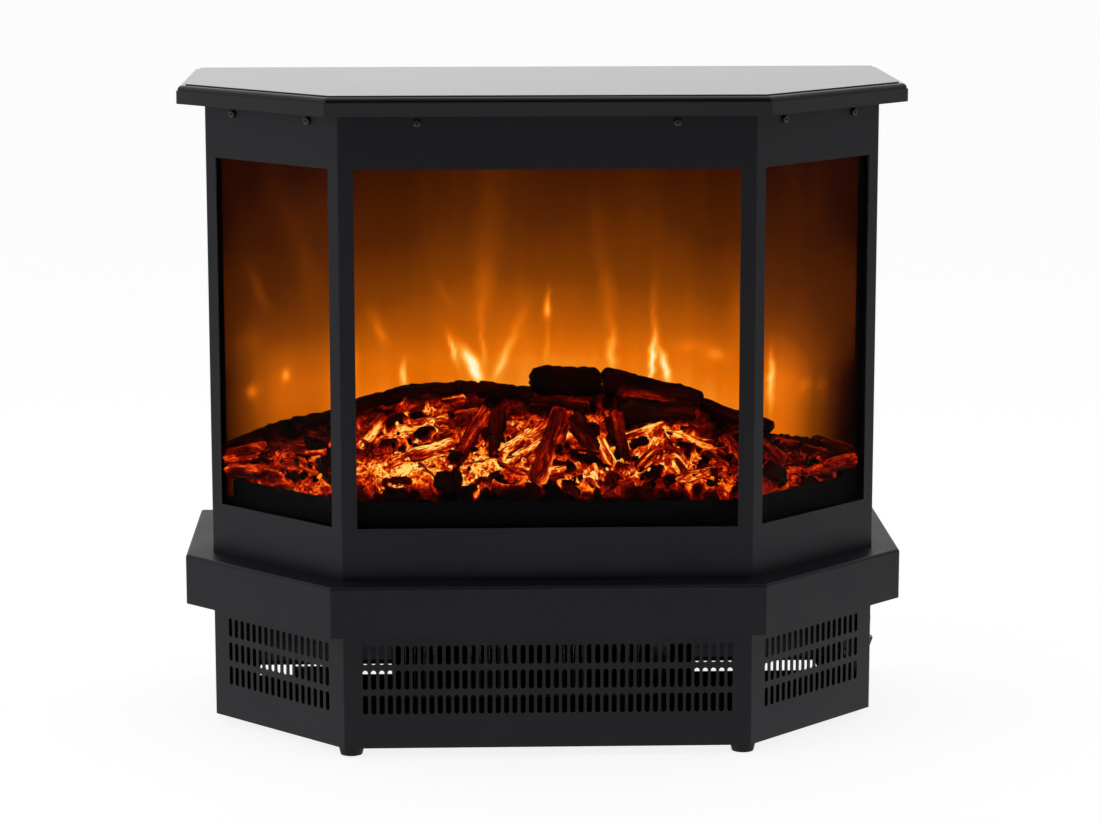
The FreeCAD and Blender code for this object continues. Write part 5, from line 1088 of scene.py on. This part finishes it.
def screw_surface(seat, outward, head):
    """Pan head screw: a domed profile turned round its line, less a cross recess, whose depth is full
    near two crossed bars and falls to nothing at their ends."""
    rim, shank, recess_depth = 3.2, 1.6, 1.1
    reach = np.linspace(0.36, 3.0, 12)
    crown = np.stack([reach, head * (1 - 0.3 * (reach / rim) ** 3)], -1)
    foot = [(rim, head * 0.5), (rim, 0.0), (shank, 0.0), (shank, -4.0), (0.3, -4.8)]
    across, aloft, height = turned(np.concatenate([crown, foot]), 48)
    bar = np.minimum(np.abs(across), np.abs(aloft))
    radius = np.hypot(across, aloft)
    recess = (1 - eased(bar, 0.28, 0.5)) * (1 - eased(radius, 1.5, 1.95))
    recess *= height > 0.5 * head
    return stood(across, aloft, height - recess_depth * recess, seat, outward)


class STOVE_OT_screws(bpy.types.Operator):
    """Pan head screws with cross recesses"""
    bl_idname = "stove.screws"
    bl_label = "Screws"

    def execute(self, context):
        material = coated(
            "black_oxide", (0.006, 0.006, 0.007), pebbles=1800.0, rough=0.24, depth=0.00002)
        dress("screw_steel", material)
        for node, (seats, head) in SCREWS.items():
            heads = merged([screw_surface(seat, outward, head) for seat, outward in seats])
            put_piece(f"{node}_turned", heads, material, node)
        return {"FINISHED"}


class STOVE_OT_knob(bpy.types.Operator):
    """Fluted dimmer knob with its pointer"""
    bl_idname = "stove.knob"
    bl_label = "Dimmer knob"

    def execute(self, context):
        put_piece("dimmer_knob_fluted", self.surface(), self.finish(), "dimmer_knob",
                  body="dimmer_knob")
        return {"FINISHED"}

    def surface(self):
        """A profile turned round the shaft line; its side swings in by a flute 24 times round, and a
        raised pointer runs from the middle of the dished face to its upper edge."""
        low, high = (corner / MM for corner in box_of("dimmer_knob"))
        middle = (low + high) / 2
        full, tall, flutes, bore, bore_depth = (high[1] - low[1]) / 2, 13.0, 24, 3.2, 6.0
        dish = np.stack([np.linspace(0.5, full - 1.4, 14), np.full(14, tall - 0.5)], -1)
        dish[-2:, 1] = (tall - 0.25, tall)
        side = [
            (full - 0.7, tall - 0.05), (full - 0.25, tall - 0.45), (full - 0.1, tall - 1.2),
            (full - 0.1, 6.0), (full, 1.6), (full, 0.4), (full - 0.4, 0.0), (bore, 0.0),
            (bore, bore_depth), (0.4, bore_depth)]
        across, aloft, height = turned(np.concatenate([dish, side]), 192)
        radius, angle = np.hypot(across, aloft), np.arctan2(aloft, across)
        flute = 0.5 - 0.5 * np.cos(flutes * angle)
        grip = eased(radius, full - 0.9, full - 0.3) * eased(height, 1.4, 2.4)
        shrink = 1 - 0.06 * flute * grip
        upper = eased(aloft, 0.4, 1.2) * (1 - eased(aloft, full - 1.6, full - 1.0))
        pointer = (1 - eased(np.abs(across), 0.35, 0.75)) * upper * (height > tall - 0.6)
        seat = (low[0], middle[1], middle[2])
        return stood(across * shrink, aloft * shrink, height + 1.1 * pointer, seat, (1, 0, 0))

    def finish(self):
        """Black moulded plastic; the pointer's top, which stands above the face, is white"""
        material = coated(
            "knob_plastic", BLACK_PLASTIC, pebbles=1100.0, rough=0.4, depth=0.00004)
        tree = material.node_tree
        shader = tree.nodes["Principled BSDF"].inputs
        paint = Flow(shader["Base Color"].links[0].from_node, MIXED_COLOUR)
        face_ends, top_starts = 0.2934, 0.2936
        top = Flow(add(tree, "TexCoord"), "Object").part("X").spread(face_ends, top_starts)
        fill(shader, Base_Color=top.tint(paint, (0.75, 0.75, 0.73, 1)))
        return material


WHITE = (1, 1, 1, 1)
# Room light from the front to the back
ROOM_STOPS = [
    (0.0, (0.1, 0.1, 0.1)), (0.3, (0.3, 0.3, 0.3)), (0.62, (1, 1, 1)), (1.0, (1, 1, 1)),
]
FLOOR_REACH = 30.0
LAMP_TARGET = (0, 0, 0.3)
RIGHT_LAMP_SHARE = 0.55
CAMERA_MATRIX = (
    (0.99944518, 0.00654889, -0.03265642, -0.0838),
    (-0.03330137, 0.17910762, -0.98326572, -2.7066),
    (-0.00059028, 0.98380769, 0.17922634, 0.7556),
    (0, 0, 0, 1),
)


class STOVE_OT_stage(bpy.types.Operator):
    """Pale floor, plain soft light and the camera"""
    bl_idname = "stove.stage"
    bl_label = "Stage"

    def execute(self, context):
        scene, stage = context.scene, context.scene.stove_stage
        scene.view_settings.view_transform = "Standard"
        self.room(scene, stage.room_light)
        self.put(scene, "floor", self.floor())
        right_power = RIGHT_LAMP_SHARE * stage.side_power
        self.lamp(scene, "left_lamp", (-2.2, -1.1, 1.6), 1.6, stage.side_power)
        self.lamp(scene, "right_lamp", (2.2, -1.1, 1.6), 1.6, right_power)
        self.lamp(scene, "top_lamp", (0, -0.3, 2.6), 1.8, stage.top_power)
        self.camera(scene, stage.lens)
        return {"FINISHED"}

    def put(self, scene, name, data):
        """Object of the data, in the scene"""
        made = bpy.data.objects.new(name, data)
        scene.collection.objects.link(made)
        return made

    def room(self, scene, level):
        """White to the camera; else a plain room, white behind, grey in front, dimmer on the right"""
        scene.world = bpy.data.worlds.new("studio")
        tree = cleared_tree(scene.world)
        way = Flow(add(tree, "TexCoord"), "Generated")
        grey = way.part("Y").spread(-1.0, 1.0).ramp(ROOM_STOPS)
        dimmed = way.part("X").spread(0.0, 1.0, 1.0, 0.6)
        lit, shown, white = (
            Flow(add(tree, "Background", Color=colour, Strength=strength))
            for colour, strength in ((grey, dimmed * level), (grey, dimmed), (WHITE, 1.0)))
        path = flows(add(tree, "LightPath"))
        seen = path["Is Glossy Ray"].math("MAXIMUM", path["Is Transmission Ray"])
        final = path["Is Camera Ray"].blend(seen.blend(lit, shown), white)
        add(tree, "OutputWorld", Surface=final)

    def floor(self):
        """White floor: mostly lit white to the eye, partly diffuse, so that the stove's shadow stays.
        Its mirror image is a pool of light, dimmer far off and on the right."""
        mesh = bpy.data.meshes.new("floor")
        corners = [(-1, -1, 0), (1, -1, 0), (1, 1, 0), (-1, 1, 0)]
        mesh.from_pydata(np.array(corners) * FLOOR_REACH, [], [(0, 1, 2, 3)])
        material = bpy.data.materials.new("white_floor")
        tree = cleared_tree(material)
        pale = where(tree).noise(3.0, 3.0).tint((0.86, 0.86, 0.86, 1), (0.9, 0.9, 0.9, 1))
        paper = Flow(add(tree, "BsdfDiffuse", Color=pale))
        shaded = Flow(add(tree, "BsdfDiffuse", Color=(0.36, 0.36, 0.36, 1)))
        white = Flow(add(tree, "Emission", Color=WHITE, Strength=0.86))
        lit = Flow(add(tree, "AddShader", None, shaded, white))
        place = Flow(add(tree, "TexCoord"), "Object")
        off = Flow(add(tree, "VectorMath", {"operation": "LENGTH"}, place), "Value")
        pool = off.spread(0.3, 1.6, 1.22, 0.97) * place.part("X").spread(0.35, 2.6, 1.0, 0.72)
        mirrored = Flow(add(tree, "Emission", Color=WHITE, Strength=pool))
        path = flows(add(tree, "LightPath"))
        seen = path["Is Camera Ray"].math("MAXIMUM", path["Is Transmission Ray"])
        unseen = path["Is Glossy Ray"].blend(paper, mirrored)
        add(tree, "OutputMaterial", Surface=seen.blend(unseen, lit))
        mesh.materials.append(material)
        return mesh

    def lamp(self, scene, name, place, size, power):
        """Square lamp that looks at the stove"""
        light = bpy.data.lights.new(name, "AREA")
        light.shape = "SQUARE"
        light.size = size
        light.energy = power
        lamp = self.put(scene, name, light)
        lamp.location = place
        away = Vector(place) - Vector(LAMP_TARGET)
        lamp.rotation_euler = away.to_track_quat("Z", "Y").to_euler()

    def camera(self, scene, lens):
        """Camera fitted to the straight edges of the photo"""
        data = bpy.data.cameras.new("camera")
        data.sensor_fit = "HORIZONTAL"
        data.sensor_width = 36.0
        data.lens = lens
        data.clip_end = 100.0
        scene.camera = self.put(scene, "camera", data)
        scene.camera.matrix_world = Matrix(CAMERA_MATRIX)


class STOVE_PT_panel(bpy.types.Panel):
    """Lists the stove's operators and their sizes and colours"""
    bl_idname = "STOVE_PT_panel"
    bl_label = "Stove"
    bl_space_type = "VIEW_3D"
    bl_region_type = "UI"
    bl_category = "Stove"

    def draw(self, context):
        for group in GROUPS:
            settings = getattr(context.scene, group)
            for name in settings.__annotations__:
                self.layout.prop(settings, name)
        for operator in OPERATORS:
            self.layout.operator(operator.bl_idname)


GROUPS = {"stove_coatings": StoveCoatings, "stove_fire": StoveFire, "stove_stage": StoveStage}
OPERATORS = [
    STOVE_OT_case, STOVE_OT_mantel, STOVE_OT_windows, STOVE_OT_hardware, STOVE_OT_flame_screen,
    STOVE_OT_ember_mound, STOVE_OT_logs, STOVE_OT_coals, STOVE_OT_screws, STOVE_OT_knob,
    STOVE_OT_stage,
]


def register():
    for kind in (*GROUPS.values(), *OPERATORS, STOVE_PT_panel):
        bpy.utils.register_class(kind)
    for name, kind in GROUPS.items():
        setattr(bpy.types.Scene, name, bpy.props.PointerProperty(type=kind))


def unregister():
    for name in GROUPS:
        delattr(bpy.types.Scene, name)
    for kind in (STOVE_PT_panel, *reversed(OPERATORS), *reversed(GROUPS.values())):
        bpy.utils.unregister_class(kind)


def main():
    register()
    bpy.ops.stove.case()
    bpy.ops.stove.mantel()
    bpy.ops.stove.windows()
    bpy.ops.stove.hardware()
    bpy.ops.stove.flame_screen()
    bpy.ops.stove.ember_mound()
    bpy.ops.stove.logs()
    bpy.ops.stove.coals()
    bpy.ops.stove.screws()
    bpy.ops.stove.knob()
    bpy.ops.stove.stage()


if __name__ == "__main__":
    main()
